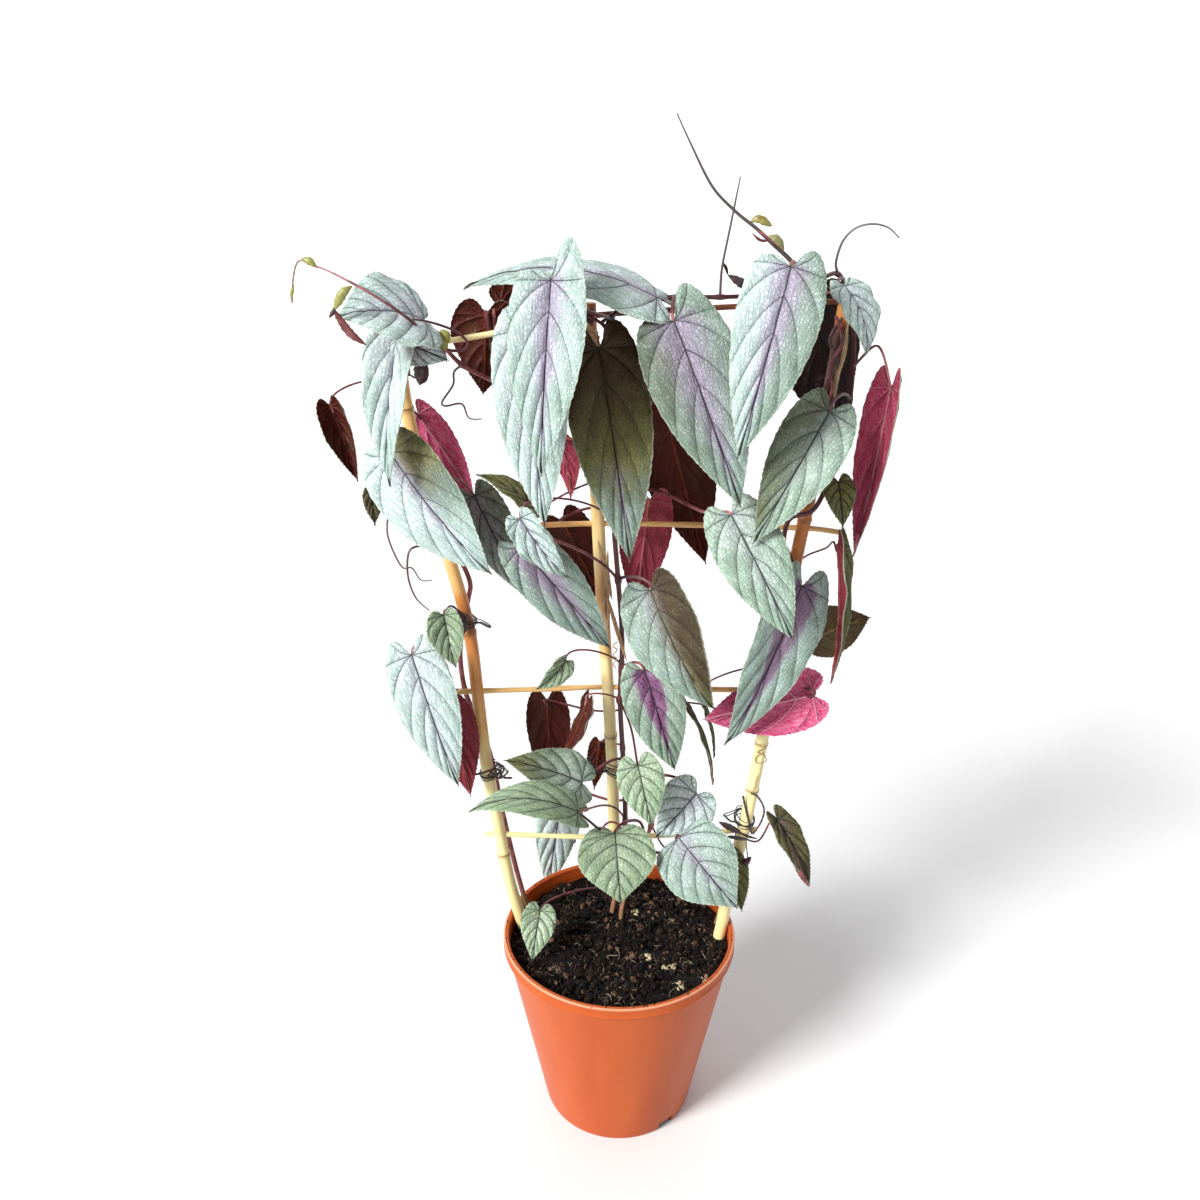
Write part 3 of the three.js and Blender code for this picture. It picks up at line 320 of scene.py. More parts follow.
# Leaves of the vine, in the order that gives each one its wave: name, vine, place on its stem, base, tip,
# width, roll, fold, bow, tone, and a shape where it isn't long
LEAVES = (
    Leaf("top_front", MIDDLE, 12, (551, 281, -40), (541, 478, -52), 46, -4, 16, 6, Tone.LILAC, Shape.LOBED,
         lobes=(1.2, 0.3), via=((590, 312, -20), (562, 300, -38))),
    Leaf("top_left_front", MIDDLE, 11.6, (527, 330, -26), (545, 528, -34), 46, -6, 10, 6, Tone.MINT),
    Leaf("olive_centre", MIDDLE, 11, (599, 349, -8), (630, 563, -22), 53, 4, 12, 6, Tone.OLIVE),
    Leaf("top_arching", MIDDLE, 14, (656, 298, -8), (463, 289, -14), 46, -40, -8, 16, Tone.SILVER,
         Shape.HEART, lobes=(0.4, 0.8)),
    Leaf("right_centre", MIDDLE, 14.5, (674, 321, -18), (741, 508, -34), 58, 0, 8, 5, Tone.DUSK,
         lobes=(1.3, 0.5)),
    Leaf("back_maroon", MIDDLE, 9, (664, 405, 46), (706, 565, 40), 56, 180, 10, 5, Tone.MAROON),
    Leaf("back_crimson", MIDDLE, 8, (649, 500, 34), (636, 612, 34), 38, 180, 10, 5, Tone.DULL_CRIMSON),
    Leaf("centre_low", MIDDLE, 7, (651, 590, 0), (715, 710, -26), 56, -30, 18, 8, Tone.HALF_BROWN),
    Leaf("back_dark_low", MIDDLE, 5, (547, 700, 48), (552, 800, 46), 34, 180, 8, 4, Tone.MAROON,
         via=((618, 710, 46), (590, 710, 50))),
    Leaf("thin_turned", MIDDLE, 5, (588, 700, 20), (557, 762, 14), 24, 115, 10, 3, Tone.MAROON),
    Leaf("small_folded", MIDDLE, 5.6, (566, 660, 14), (536, 690, 8), 22, 30, 35, 2, Tone.SAGE),
    Leaf("level_low", MIDDLE, 4, (581, 782, 1), (503, 760, -8), 40, -30, 10, 5, Tone.OLIVE_TIP, Shape.HEART),
    Leaf("arched_low", MIDDLE, 3, (577, 812, -24), (468, 812, -30), 30, -40, 12, 18, Tone.SAGE),
    Leaf("back_small_dark", MIDDLE, 4.2, (600, 742, 54), (594, 790, 52), 18, 180, 10, 2, Tone.MAROON,
         via=((622, 745, 46),)),
    Leaf("grey_purple", MIDDLE, 7, (521, 547, -8), (611, 649, 2), 42, 0, 20, 6, Tone.GREY),
    Leaf("crumpled", MIDDLE, 8, (520, 518, -24), (568, 578, -22), 28, -20, 30, 4, Tone.SILVER, wave=3),
    Leaf("narrow_olive", MIDDLE, 8.6, (535, 508, 2), (476, 474, -4), 24, -50, 15, 3, Tone.MOSS),
    Leaf("small_red", MIDDLE, 9, (560, 440, 8), (571, 500, 6), 20, 150, 20, 3, Tone.DULL_CRIMSON),
    Leaf("back_brown", MIDDLE, 8, (562, 520, 44), (604, 604, 46), 36, 180, 10, 4, Tone.MAROON,
         via=((616, 512, 40), (590, 508, 46))),
    Leaf("left_hanging", LEFT, 17, (402, 322, 11), (390, 487, -26), 40, -16, 34, 8, Tone.MINT),
    Leaf("left_top", LEFT, 17, (424, 320, -4), (335, 318, -34), 62, -30, 8, 6, Tone.MINT, Shape.ROUND),
    Leaf("back_heart_left", LEFT, 20.6, (486, 315, 50), (483, 396, 46), 48, 180, 8, 4, Tone.MAROON,
         Shape.HEART),
    Leaf("back_heart_top", LEFT, 21, (499, 307, 60), (566, 322, 58), 42, 180, 8, 4, Tone.MAROON,
         Shape.HEART),
    Leaf("far_left_folded", LEFT, 14, (331, 406, 14), (358, 482, 6), 28, 180, -50, 3, Tone.MAROON),
    Leaf("left_crimson", LEFT, 13.4, (417, 414, 52), (476, 503, 46), 27, 170, 10, 5, Tone.BRIGHT_CRIMSON),
    Leaf("left_big", LEFT, 12.6, (391, 454, -4), (492, 575, -16), 56, -22, 12, 6, Tone.OLIVE_TOP,
         via=((400, 440, 38), (392, 446, 18))),
    Leaf("left_edge_small", LEFT, 12.6, (371, 490, 16), (375, 526, 12), 14, 20, 20, 1, Tone.BROWN),
    Leaf("left_grey", LEFT, 12, (474, 496, 10), (522, 595, 4), 34, 10, 12, 4, Tone.ASH),
    Leaf("left_low_pale", LEFT, 7, (412, 655, 0), (459, 787, -8), 44, 0, 8, 5, Tone.MINT),
    Leaf("left_small_folded", LEFT, 7.6, (444, 615, -2), (456, 668, -12), 32, 0, 40, 2, Tone.SAGE,
         via=((452, 606, 32), (446, 610, 18))),
    Leaf("left_low_maroon", LEFT, 6, (446, 706, 8), (471, 797, 2), 36, 180, 14, 4, Tone.RED_MAROON,
         via=((450, 690, 30), (444, 696, 18))),
    Leaf("right_big", RIGHT, 17, (791, 267, -20), (737, 460, -38), 50, 0, 8, 7, Tone.DEEP_LILAC,
         lobes=(0.9, 0.35)),
    Leaf("right_middle", RIGHT, 12, (829, 412, -2), (752, 545, -28), 46, 0, 10, 6, Tone.HALF_OLIVE),
    Leaf("right_pale", MIDDLE, 8.3, (731, 515, -14), (793, 641, -36), 46, 0, 8, 6, Tone.PALE_SAGE,
         via=((652, 490, 12), (704, 512, 4))),
    Leaf("right_purple", RIGHT, 7, (801, 586, 6), (724, 746, -10), 54, 28, 16, 6, Tone.PURPLE),
    Leaf("right_crimson_low", RIGHT, 4, (813, 695, 8), (702, 720, -2), 47, 180, 4, 1, Tone.BRIGHT_CRIMSON),
    Leaf("right_crimson_long", RIGHT, 12.6, (891, 388, 19), (853, 557, 13), 35, 150, -50, 4, Tone.CRIMSON,
         via=((878, 346, 14),)),
    Leaf("right_narrow", RIGHT, 6.2, (838, 545, 12), (831, 684, 4), 24, 60, 45, 3, Tone.BRONZE,
         via=((791, 569, 37), (806, 556, 36), (826, 548, 26))),
    Leaf("right_back_olive", RIGHT, 6, (812, 640, 40), (871, 617, 30), 42, 160, 10, 3, Tone.RUSSET),
    Leaf("right_small_dark", RIGHT, 10, (838, 482, 8), (843, 529, -4), 22, 0, 12, 2, Tone.MOSS, Shape.HEART),
    Leaf("right_top_mint", RIGHT, 14.5, (844, 286, 12), (866, 356, 2), 42, 40, 10, 5, Tone.MINT),
    Leaf("right_back_maroon", RIGHT, 14, (814, 300, 58), (836, 440, 54), 58, 180, 8, 5, Tone.SHADOWED_MAROON),
    Leaf("low_right_turned", RIGHT, 2, (777, 820, 12), (810, 886, 4), 26, 30, 28, 3, Tone.BROWN, Shape.LOBED,
         via=((758, 841, 18),)),
    Leaf("edge_on_long", RIGHT, 4, (686, 704, 24), (713, 785, 18), 18, 84, 8, 4, Tone.MAROON,
         via=((740, 712, 40), (700, 704, 36))),
    Leaf("edge_on_short", RIGHT, 4.4, (700, 698, 34), (714, 758, 30), 14, 84, 8, 3, Tone.MAROON),
    Leaf("magenta_band", MIDDLE, 5.5, (645, 671, 4), (675, 771, -2), 43, 0, 10, 4, Tone.MAGENTA),
    Leaf("small_heart", MIDDLE, 5, (638, 766, 2), (652, 827, -8), 35, 0, 10, 3, Tone.PALE_GREEN, Shape.HEART,
         via=((631, 728, 22),)),
    Leaf("pale_heart", LOW, 6, (696, 794, 18), (655, 838, 4), 44, 0, 10, 3, Tone.MINT, Shape.HEART),
    Leaf("front_heart", LOW, 3.4, (615, 834, -8), (621, 905, -38), 56, 0, 6, 4, Tone.SAGE, Shape.ROUND,
         via=((640, 822, 18), (625, 822, 2))),
    Leaf("right_broad", LOW, 3.4, (679, 838, -10), (738, 909, -38), 56, 0, 8, 4, Tone.SILVER_GREEN,
         Shape.ROUND, lobes=(0.3, 0.3), via=((655, 852, 16), (672, 850, 0))),
    Leaf("olive_behind", LOW, 4, (728, 858, 0), (742, 912, -16), 26, 10, 10, 3, Tone.MOSS, Shape.HEART,
         via=((668, 850, 20), (705, 856, 10))),
    Leaf("pot_left", LOW, 1.5, (540, 911, -6), (532, 962, -34), 27, 0, 14, 3, Tone.PALE_GREEN, Shape.LOBED),
    Leaf("behind_bar", LOW, 4, (562, 790, 70), (547, 890, 78), 39, 10, 10, 4, Tone.MINT, Shape.HEART,
         via=((640, 800, 40), (610, 800, 58))),
    Leaf("left_spread", LEFT, 16.6, (398, 338, 0), (450, 361, -6), 26, -15, 8, 3, Tone.MINT),
)

# The stems
STEMS = {
    LEFT: Stem(buried=(-52, 22, 92), skin=0.4, seen=((534, 925, 24), (519, 879, 26), (503, 814, 30),
        (492, 761, 33), (480, 726, 34), (465, 690, 34), (460, 645, 35), (468, 600, 37), (470, 583, 37),
        (462, 563, 38), (448, 540, 39), (428, 480, 42), (411, 425, 43), (400, 385, 44), (404, 352, 46),
        (416, 336, 28), (428, 336, 17), (441, 344, 13), (462, 365, 13), (487, 378, 18), (500, 384, 30))),
    MIDDLE: Stem(buried=(-4, 30, 90), skin=0.14, seen=((611, 920, 28), (620, 870, 32), (625, 820, 33),
        (623, 760, 31), (620, 700, 27), (622, 640, 25), (618, 580, 19), (613, 520, 15), (608, 460, 10),
        (605, 400, 6), (604, 350, 4), (611, 318, 4), (632, 303, 4), (660, 298, 5), (690, 297, 6),
        (720, 297, 6), (748, 296, 8))),
    RIGHT: Stem(buried=(56, 20, 96), skin=0.18, seen=((716, 924, 17), (738, 835, 23), (758, 750, 28),
        (774, 690, 31), (783, 640, 34), (781, 590, 31), (783, 545, 22), (790, 519, 15), (812, 511, 14),
        (826, 488, 20), (840, 455, 28), (850, 400, 36), (854, 345, 40), (850, 300, 42), (838, 274, 34),
        (816, 280, 14), (797, 272, 4))),
    LOW: Stem(buried=(8, 22, 92), skin=0.45, seen=((621, 916, 21), (632, 875, 22), (642, 850, 24),
        (651, 825, 25), (656, 800, 25), (660, 776, 24))),
}

# The canes of the fan
CANES = {
    "cane_left": Cane(tans_and_shade=((150, 0), (255, 0.03), (285, 0.22), (303, 0.42), (349, 0.62), (385, 0.85),
        (400, 0.45), (430, 0.28), (560, 0.32)),
        nodes=(2.4, 6.3, 9.2), buried=(-54, 10, 45), foot=(-71.6, 13, 134), seen=((509, 879, 15.5),
        (496, 814, 20), (486, 761, 22), (478, 697, 24), (471.8, 645, 26), (463.5, 606.5, 27), (447, 551, 28),
        (411, 429, 33), (397, 346, 36))),
    "cane_middle": Cane(tans_and_shade=((134, 0), (345, 0), (356, 0.4), (398, 0.45), (415, 0.15), (540, 0.3),
        (587, 0.8)),
        nodes=(3.4, 5.6), buried=(4, 41, 30), foot=(0, 46, 134), seen=((614, 823, 41), (612, 760, 39),
        (608, 690, 35), (600, 560, 29), (594, 430, 24), (589, 303, 20))),
    # The right cane's rind over 1, from 500 mm to 568 mm, is painted shade
    "cane_right": Cane(tans_and_shade=((165, 0), (395, 0), (405, 0.7), (440, 0.7), (500, 1), (520, 1.4), (568, 1.4),
        (576, 0.6), (590, 0.55)),
        nodes=(3.5, 4.1, 7.4), buried=(56, 0, 45), foot=(74.6, 3, 134), seen=((728, 890, 6), (744, 829, 12),
        (760, 750, 17), (772, 690, 20), (790, 590, 24), (800, 540, 25.5), (812, 485, 27), (830, 390, 30),
        (848, 288, 32))),
}

# The bars of the fan
BARS = {
    "bar_low": ((487, 834, 19.5), (500, 834, 19.5), (617, 837, 17), (744, 830, 12), (757, 829, 11.5)),
    "bar_second": ((459, 692, 24.3), (477, 691, 24.3), (545, 689, 30), (608, 687, 35), (690, 689, 29),
        (772, 690, 20), (784, 690, 19)),
    "bar_third": ((424, 529, 29), (440, 528, 28.8), (520, 526, 29), (598.5, 523.5, 28), (700, 525, 27),
        (803, 528, 26), (845, 533, 25)),
    "bar_top": ((384, 351, 35.6), (398.5, 349, 35.6), (490, 334, 29), (590, 316, 20.8), (710, 308, 27),
        (846, 301, 32), (860, 300, 32.4)),
}

# How dark the rind of each bar is at its left and at its right, as in Cane, where over 1 is painted shade
BAR_TANS_AND_SHADE = {"bar_low": (0.0, 0.0), "bar_second": (0.3, 0.36), "bar_third": (0.42, 0.34),
            "bar_top": (0.02, 1.15)}

# The wire ties
TIES = {
    "tie_left_low": Tie("cane_left", LEFT, at=(484.6, 774, 21.6), end=(508, 772, 8)),
    "tie_left_mid": Tie("cane_left", LEFT, at=(467, 622, 26.4), end=(490, 627, 18)),
    "tie_middle": Tie("cane_middle", MIDDLE, at=(612.2, 768, 39.2), end=(588, 758, 26)),
    "tie_right": Tie("cane_right", RIGHT, at=(745, 822, 12.5), end=(724, 815, 10)),
}

# Shoots and tendrils of each stem
SHOOTS = {
    LEFT: (
        Shoot(18, 1.3, 0.7, ((425, 334, -10), (409, 319, -26), (380, 299, -39), (352, 283, -39),
              (326, 270, -34), (304, 262, -30)), skin=(0.2, 0.5)),
        Shoot(18, 1, 0.8, ((448, 350, 8), (463, 350, 4), (467, 342, 2), (455, 331, -4), (430, 322, -16),
              (411, 319, -24)), skin=(0.3, 0.2)),
        Shoot(19, 0.7, 0.6, ((454, 372, 13), (453, 385, 12), (442, 402, 10), (446, 406, 10), (462, 404, 10),
              (469, 418, 10), (484, 419, 10)), skin=(0.1, 0.6), dry=0.75),
        Shoot(11, 0.9, 0.6, ((432, 549, 28), (420, 546, 20), (409, 552, 16), (408, 576, 14), (416, 598, 13),
              (431, 612, 12)), skin=(0.1, 0.1), dry=0.2),
        Shoot(12.4, 0.7, 0.6, ((392, 510, 34), (387, 528, 26), (391, 546, 22), (402, 567, 18),
              (412, 568, 16), (421, 580, 14), (434, 580, 12)), skin=(0.1, 0.3), dry=0.6),
    ),
    MIDDLE: (
        Shoot(16, 0.8, 0.6, ((722, 268, 2), (730, 228, 0), (741, 174, -2)), skin=(0.05, 0), dry=0.6),
    ),
    RIGHT: (
        Shoot(17, 1.5, 0.6, ((790, 260, 2), (774, 245, 1), (757, 229, 0), (735, 211, -2), (712, 186, -4),
              (690, 142, -6), (676, 111, -8)), skin=(0.05, 0), dry=0.45),
        Shoot(15, 0.9, 0.6, ((836, 262, 22), (843, 241, 18), (856, 228, 15), (873, 224, 12), (889, 228, 10),
              (901, 240, 8)), skin=(0.1, 0), dry=0.5),
    ),
}

# Half outlines, from the sinus round the lobe to the tip, as (along / length, out / half width)
OUTLINES = {
    Shape.LONG: (
        (0, 0), (-0.045, 0.1), (-0.1, 0.24), (-0.125, 0.42), (-0.1, 0.62), (-0.03, 0.8), (0.08, 0.94),
        (0.22, 1), (0.4, 0.95), (0.58, 0.77), (0.74, 0.52), (0.87, 0.27), (0.95, 0.1), (1, 0)),
    Shape.HEART: (
        (0, 0), (-0.09, 0.09), (-0.17, 0.24), (-0.2, 0.42), (-0.16, 0.64), (-0.06, 0.83), (0.07, 0.96),
        (0.2, 1), (0.36, 0.93), (0.53, 0.76), (0.7, 0.52), (0.84, 0.28), (0.94, 0.1), (1, 0)),
    Shape.LOBED: (
        (0, 0), (-0.09, 0.07), (-0.16, 0.2), (-0.19, 0.38), (-0.16, 0.6), (-0.07, 0.8), (0.06, 0.94),
        (0.21, 1), (0.38, 0.95), (0.56, 0.78), (0.72, 0.53), (0.86, 0.28), (0.95, 0.1), (1, 0)),
    Shape.ROUND: (
        (0, 0), (-0.08, 0.12), (-0.13, 0.3), (-0.12, 0.52), (-0.05, 0.73), (0.08, 0.89), (0.22, 0.97),
        (0.37, 1), (0.53, 0.9), (0.68, 0.67), (0.82, 0.37), (0.93, 0.13), (1, 0)),
}

# Buds, bracts, knots and scraps of sheath on each stem
TRIMS = {
    LEFT: (
        Trim(2.2, 0.95, ((316, 267, -33), (309, 261, -32), (301, 259, -31)), flat=0.7),
        Trim(0.5, 0.7, ((318, 268, -33), (305, 261, -32), (297, 263, -31), (293, 280, -30), (292, 303, -30)),
             flat=1, dry=0.4, even=True),
        Trim(1.1, 0.95, ((294, 284, -30), (292, 292, -30), (291, 300, -30))),
        Trim(2.8, 0.92, ((352, 286, -38), (343, 293, -40), (334, 310, -40)), flat=0.6),
        Trim(1.3, 0.05, ((335, 306, -40), (333, 312, -40), (329, 318, -40))),
        Trim(2.4, 0.36, ((333, 308, -40), (341, 321, -39), (351, 334, -37), (366, 345, -34)), flat=0.35),
        Trim(3.4, 0.9, ((433, 330, -2), (440, 338, -3), (447, 350, -2)), flat=0.7),
        Trim(2.2, 0.95, ((440, 330, -3), (446, 334, -3), (449, 343, -2)), flat=0.7),
        Trim(1.8, 0.6, ((436, 342, -1), (442, 352, -1), (447, 362, 2)), dry=0.3),
        Trim(4.6, 0.05, ((420, 356, 12), (421, 370, 12), (420, 385, 12)), flat=0.4, dry=0.5),
        Trim(1.3, 0.2, ((419, 357, 11), (426, 366, 10), (426, 379, 10), (419, 385, 11)), flat=0.9),
        Trim(0.6, 0.3, ((402, 363, -3), (408, 373, 4), (415, 378, 11)), flat=1, even=True),
        Trim(3.2, 0.1, ((402, 355, 1), (404, 366, 1), (409, 376, 5)), flat=0.6),
        Trim(4.2, 0.0, ((457, 609, 18), (461, 620, 18), (464, 634, 18)), flat=0.6),
        Trim(0.6, 0.0, ((466, 614, 17), (474, 626, 15), (470, 630, 15), (463, 622, 15)), flat=1, even=True),
        Trim(0.8, 0.0, ((468, 776, 12), (482, 773, 10), (497, 769, 12), (503, 777, 12), (512, 778, 13)),
             flat=1, even=True),
        Trim(0.7, 0.0, ((488, 776, 10), (497, 765, 12), (504, 768, 12), (498, 778, 11), (490, 770, 11)),
             flat=1, even=True),
    ),
    MIDDLE: (
        Trim(3.4, 0.2, ((592, 308, 3), (589, 318, 2), (590, 330, 2)), flat=0.6),
        Trim(5.2, 0.0, ((586, 322, -1), (590, 336, -4), (598, 350, -6)), sheath=True),
        Trim(1.1, 0.05, ((602, 322, 0), (615, 313, 2), (630, 303, 4)), flat=1, even=True),
        Trim(2.6, 0.85, ((750, 222, 0), (759, 219, -1), (772, 226, -1))),
        Trim(2.4, 0.85, ((768, 236, -2), (777, 239, -3), (784, 250, -3)), flat=0.35, dry=0.35),
        Trim(0.9, 0.3, ((752, 233, -1), (760, 240, -2), (770, 241, -2))),
        Trim(0.8, 0.4, ((757, 230, -1), (766, 236, -2), (776, 246, -2))),
        Trim(3.0, 0.0, ((758, 291, 6), (745, 285, 5), (728, 275, 4)), dry=0.2),
        Trim(3.2, 0.0, ((757, 264, 6), (753, 280, 5), (747, 297, 7)), dry=0.3),
        Trim(1.0, 0.0, ((728, 275, 4), (726, 268, 4), (723, 262, 4)), flat=0.8),
        Trim(2.0, 0.0, ((598, 540, 18), (604, 565, 20), (610, 596, 22)), flat=0.3, sheath=True),
        Trim(1.6, 0.0, ((608, 550, 18), (607, 572, 20), (612, 600, 22)), flat=0.3, sheath=True),
        Trim(1.5, 0.0, ((606, 592, 22), (614, 620, 20), (620, 640, 20), (627, 662, 22)), flat=0.4,
             sheath=True),
        Trim(2.6, 0.0, ((602, 560, 24), (605, 590, 25), (608, 640, 26)), flat=0.25, sheath=True),
        Trim(0.4, 0.0, ((617, 642, 20), (613, 646, 21), (617, 650, 22), (613, 655, 23), (617, 659, 23),
             (613, 664, 23), (616, 668, 23)), flat=1, dry=1, even=True, sheath=True),
        Trim(0.8, 0.48, ((603, 838, -6), (603, 828, -6), (610, 822, -4), (619, 825, 0), (622, 836, -6)),
             flat=1, even=True),
        Trim(0.9, 0.0, ((578, 812, -22), (588, 820, -14), (600, 830, -6)), flat=1, even=True),
        Trim(1.6, 0.05, ((574, 841, 17.5), (576, 841, 17.5)), flat=0.9),
    ),
    RIGHT: (
        Trim(1.2, 0.1, ((842, 318, 24), (830, 340, 22), (838, 362, 23), (826, 385, 23), (829, 410, 24)),
             flat=0.9, even=True),
        Trim(1.0, 0.3, ((836, 316, 23), (842, 342, 21), (830, 366, 22), (832, 390, 22), (822, 412, 23)),
             flat=0.9, even=True),
        Trim(1.5, 0.0, ((848, 322, 25), (845, 350, 24), (836, 380, 24), (834, 408, 24)), sheath=True),
        Trim(0.45, 0.0, ((764, 752, 12), (756, 757, 12), (757, 763, 12), (766, 761, 13), (764, 755, 12),
             (757, 752, 12), (766, 748, 13)), flat=1, even=True, sheath=True),
        Trim(0.35, 0.0, ((763, 763, 12), (761, 772, 11), (757, 778, 10.6), (755, 786, 10.2),
             (752, 794, 9.6)), flat=1, even=True, sheath=True),
        Trim(0.8, 0.05, ((743, 796, 10), (747, 814, 8.3), (752, 834, 7.6)), flat=0.6, dry=0.2, even=True),
        Trim(0.7, 0.05, ((751, 793, 9.6), (758, 797, 10), (764, 809, 10), (761, 822, 9), (753, 834, 7.6)),
             flat=0.6, dry=0.2, even=True),
        Trim(2.4, 0.0, ((719, 822, 8), (729, 827, 8), (741, 833, 7)), flat=0.7, dry=0.2),
        Trim(1.0, 0.0, ((736, 831, 7), (747, 836, 7), (758, 839, 7.5)), flat=0.7, dry=0.2),
        Trim(1.5, 0.0, ((725, 836, 8), (737, 838, 7), (750, 840, 6.8)), flat=0.7, dry=0.5),
        Trim(2.0, 0.36, ((791, 846, 2), (797, 866, 0), (803, 878, -1), (809, 887, -1)), flat=0.4),
    ),
    LOW: (
        Trim(2.4, 0.1, ((751, 857, -2), (747, 861, -3), (742, 866, -3)), flat=0.8),
        Trim(0.4, 0.0, ((746, 842, 6), (747, 851, 1), (748, 860, -2)), flat=1, dry=0.3, even=True),
    ),
}


def sight(u: float, v: float) -> Array:
    """The direction from the eye through u, v of the picture, which moves on by 1 ahead."""
    return AHEAD + (u - FRAME_MIDDLE) / FOCAL_LENGTH * SIDEWAYS - (v - FRAME_MIDDLE) / FOCAL_LENGTH * UPWARD


def seen(place: Point) -> Array:
    """The point in mm that shows at u, v of the picture and lies at depth y: the eye's ray met with y.

    Args:
        place: u to the right and v down in the picture's frame, and y in mm behind the pot's middle.

    Returns:
        x, y and z in mm.
    """
    ray = sight(*place[:2])
    return EYE + ray * (place[2] - EYE[1]) / ray[1]


def seen_at(u: float, v: float, height: float) -> Array:
    """The point in mm that shows at u, v of the picture and lies at a height: the eye's ray met with it."""
    ray = sight(u, v)
    return EYE + ray * (height - EYE[2]) / ray[2]


def spline(knots: Array, places: Array, bent_ends: bool = True) -> Array:
    """Points of a uniform Catmull-Rom curve: 0.5 (2b + (c-a)f + (2a-5b+4c-d)f^2 + (3b-a-3c+d)f^3).

    Args:
        knots: the points that the curve passes, (n, dimensions).
        places: where on the curve, from 0 to 1.
        bent_ends: the point before the first is its neighbour's reflection, and otherwise the first itself.

    Returns:
        One point for each place.
    """
    spans = len(knots) - 1
    run = np.clip(places, 0, 1) * spans
    span = np.minimum(run.astype(int), spans - 1)
    f = (run - span)[:, None]
    first = 2 * knots[0] - knots[1] if bent_ends else knots[0]
    last = 2 * knots[-1] - knots[-2] if bent_ends else knots[-1]
    around = np.vstack([first, knots, last])
    a, b, c, d = (around[span + step] for step in range(4))
    return 0.5 * (2 * b + (c - a) * f + (2 * a - 5 * b + 4 * c - d) * f**2 + (3 * b - a - 3 * c + d) * f**3)


def bezier(p0: Array, p1: Array, p2: Array, p3: Array, places: Array) -> Array:
    """Points of a cubic curve: (1-t)^3 p0 + 3(1-t)^2 t p1 + 3(1-t)t^2 p2 + t^3 p3."""
    t = places[:, None]
    return (1 - t) ** 3 * p0 + 3 * (1 - t) ** 2 * t * p1 + 3 * (1 - t) * t**2 * p2 + t**3 * p3


def unit(vectors: Array) -> Array:
    """The vectors, each made 1 long."""
    return vectors / np.maximum(np.linalg.norm(vectors, axis=-1, keepdims=True), 1e-9)


def ease(low: float, high: float, values: Array) -> Array:
    """0 below low, 1 above high and 3t^2 - 2t^3 between."""
    t = np.clip((values - low) / (high - low), 0, 1)
    return t * t * (3 - 2 * t)


def travelled(path: Array) -> Array:
    """Length in mm from the start of a path to each of its points."""
    steps = np.linalg.norm(np.diff(path, axis=0), axis=1)
    return np.concatenate([[0.0], np.cumsum(steps)])


def rough(points: Array, size: float, seed: int) -> Array:
    """Smooth noise from -1 to 1: a random number at each corner of a cubic grid, blended inside its cubes.

    Args:
        points: where, in mm.
        size: edge of a cube of the grid in mm.
        seed: which set of random numbers.

    Returns:
        One value for each point.
    """
    cell = np.floor(points / size).astype(np.int64)
    part = points / size - cell
    part = part * part * (3 - 2 * part)
    total = np.zeros(len(points))
    for corner in np.ndindex(2, 2, 2):
        x, y, z = (cell + np.array(corner)).T
        mixed = (x * 73856093) ^ (y * 19349663) ^ (z * 83492791) ^ (seed * 2654435761)
        mixed = (mixed ^ (mixed >> 13)) * 1274126177 & 0xFFFFFFFF
        value = (mixed >> 8 & 0xFFFF) / 32767.5 - 1
        total += np.prod(np.where(np.array(corner) == 1, part, 1 - part), axis=1) * value
    return total


@dataclass
class Patch:
    """A surface in mm: its points, its triangles, a pattern place for each corner, and named marks."""

    points: Array
    faces: Array
    uv: Array
    marks: dict[str, Array] = field(default_factory=dict)

    def mark(self, **marks: Array | float) -> "Patch":
        """Adds marks, each one value for all points or one for each."""
        for name, values in marks.items():
            self.marks[name] = np.broadcast_to(values, (len(self.points), *np.shape(values)[1:]))
        return self


def lattice(points: Array, u: Array, v: Array, wrap: bool = False, poles: Sequence[Array] = ()) -> Patch:
    """Triangles over a grid of points, two for each cell, facing along d(column) x d(row).

    Args:
        points: (rows, columns, 3) in mm.
        u: pattern place of each column, with one more where it wraps.
        v: pattern place of each row.
        wrap: the last column meets the first.
        poles: a point that closes the first row, and one that closes the last.

    Returns:
        The patch, its points row by row and then the poles.
    """
    rows, columns = points.shape[:2]
    row, column = (index.ravel() for index in np.mgrid[0 : rows - 1, 0 : columns if wrap else columns - 1])
    after = (column + 1) % columns
    a, b = row * columns + column, row * columns + after
    c, d = b + columns, a + columns
    faces = [np.stack([a, b, c], -1), np.stack([a, c, d], -1)]
    ua, ub, va, vb = u[column], u[column + 1], v[row], v[row + 1]
    uv = [np.stack([[ua, va], [ub, va], [ub, vb]], 0), np.stack([[ua, va], [ub, vb], [ua, vb]], 0)]
    uv = [part.transpose(2, 0, 1) for part in uv]
    flat = [points.reshape(-1, 3)]
    ring = np.arange(columns)
    for index, pole in enumerate(poles):
        flat.append(np.asarray(pole, float).reshape(1, 3))
        start = 0 if index == 0 else (rows - 1) * columns
        one, two = start + ring, start + (ring + 1) % columns
        centre = np.full(columns, rows * columns + index)
        faces.append(np.stack([centre, two, one] if index == 0 else [centre, one, two], -1))
        edge = np.full(columns, v[0] if index == 0 else v[-1])
        uv.append(np.stack([np.stack([u[ring], edge], -1)] * 3, 1))
    return Patch(np.vstack(flat), np.vstack(faces), np.vstack(uv))


def rings(path: Array) -> tuple[Array, Array, Array]:
    """Directions along a path and two across it, carried from point to point without twist.

    Args:
        path: (n, 3) in mm.

    Returns:
        The directions ahead, out and across, each (n, 3).
    """
    ahead = unit(np.gradient(path, axis=0))
    out = np.zeros_like(path)
    side = np.array([0.3, 1.0, 0.2])
    for index, along in enumerate(ahead):
        side = unit(side - side @ along * along)
        out[index] = side
    return ahead, out, np.cross(ahead, out)


ROUND_END = ((0.45, 0.85), (0.7, 0.45))


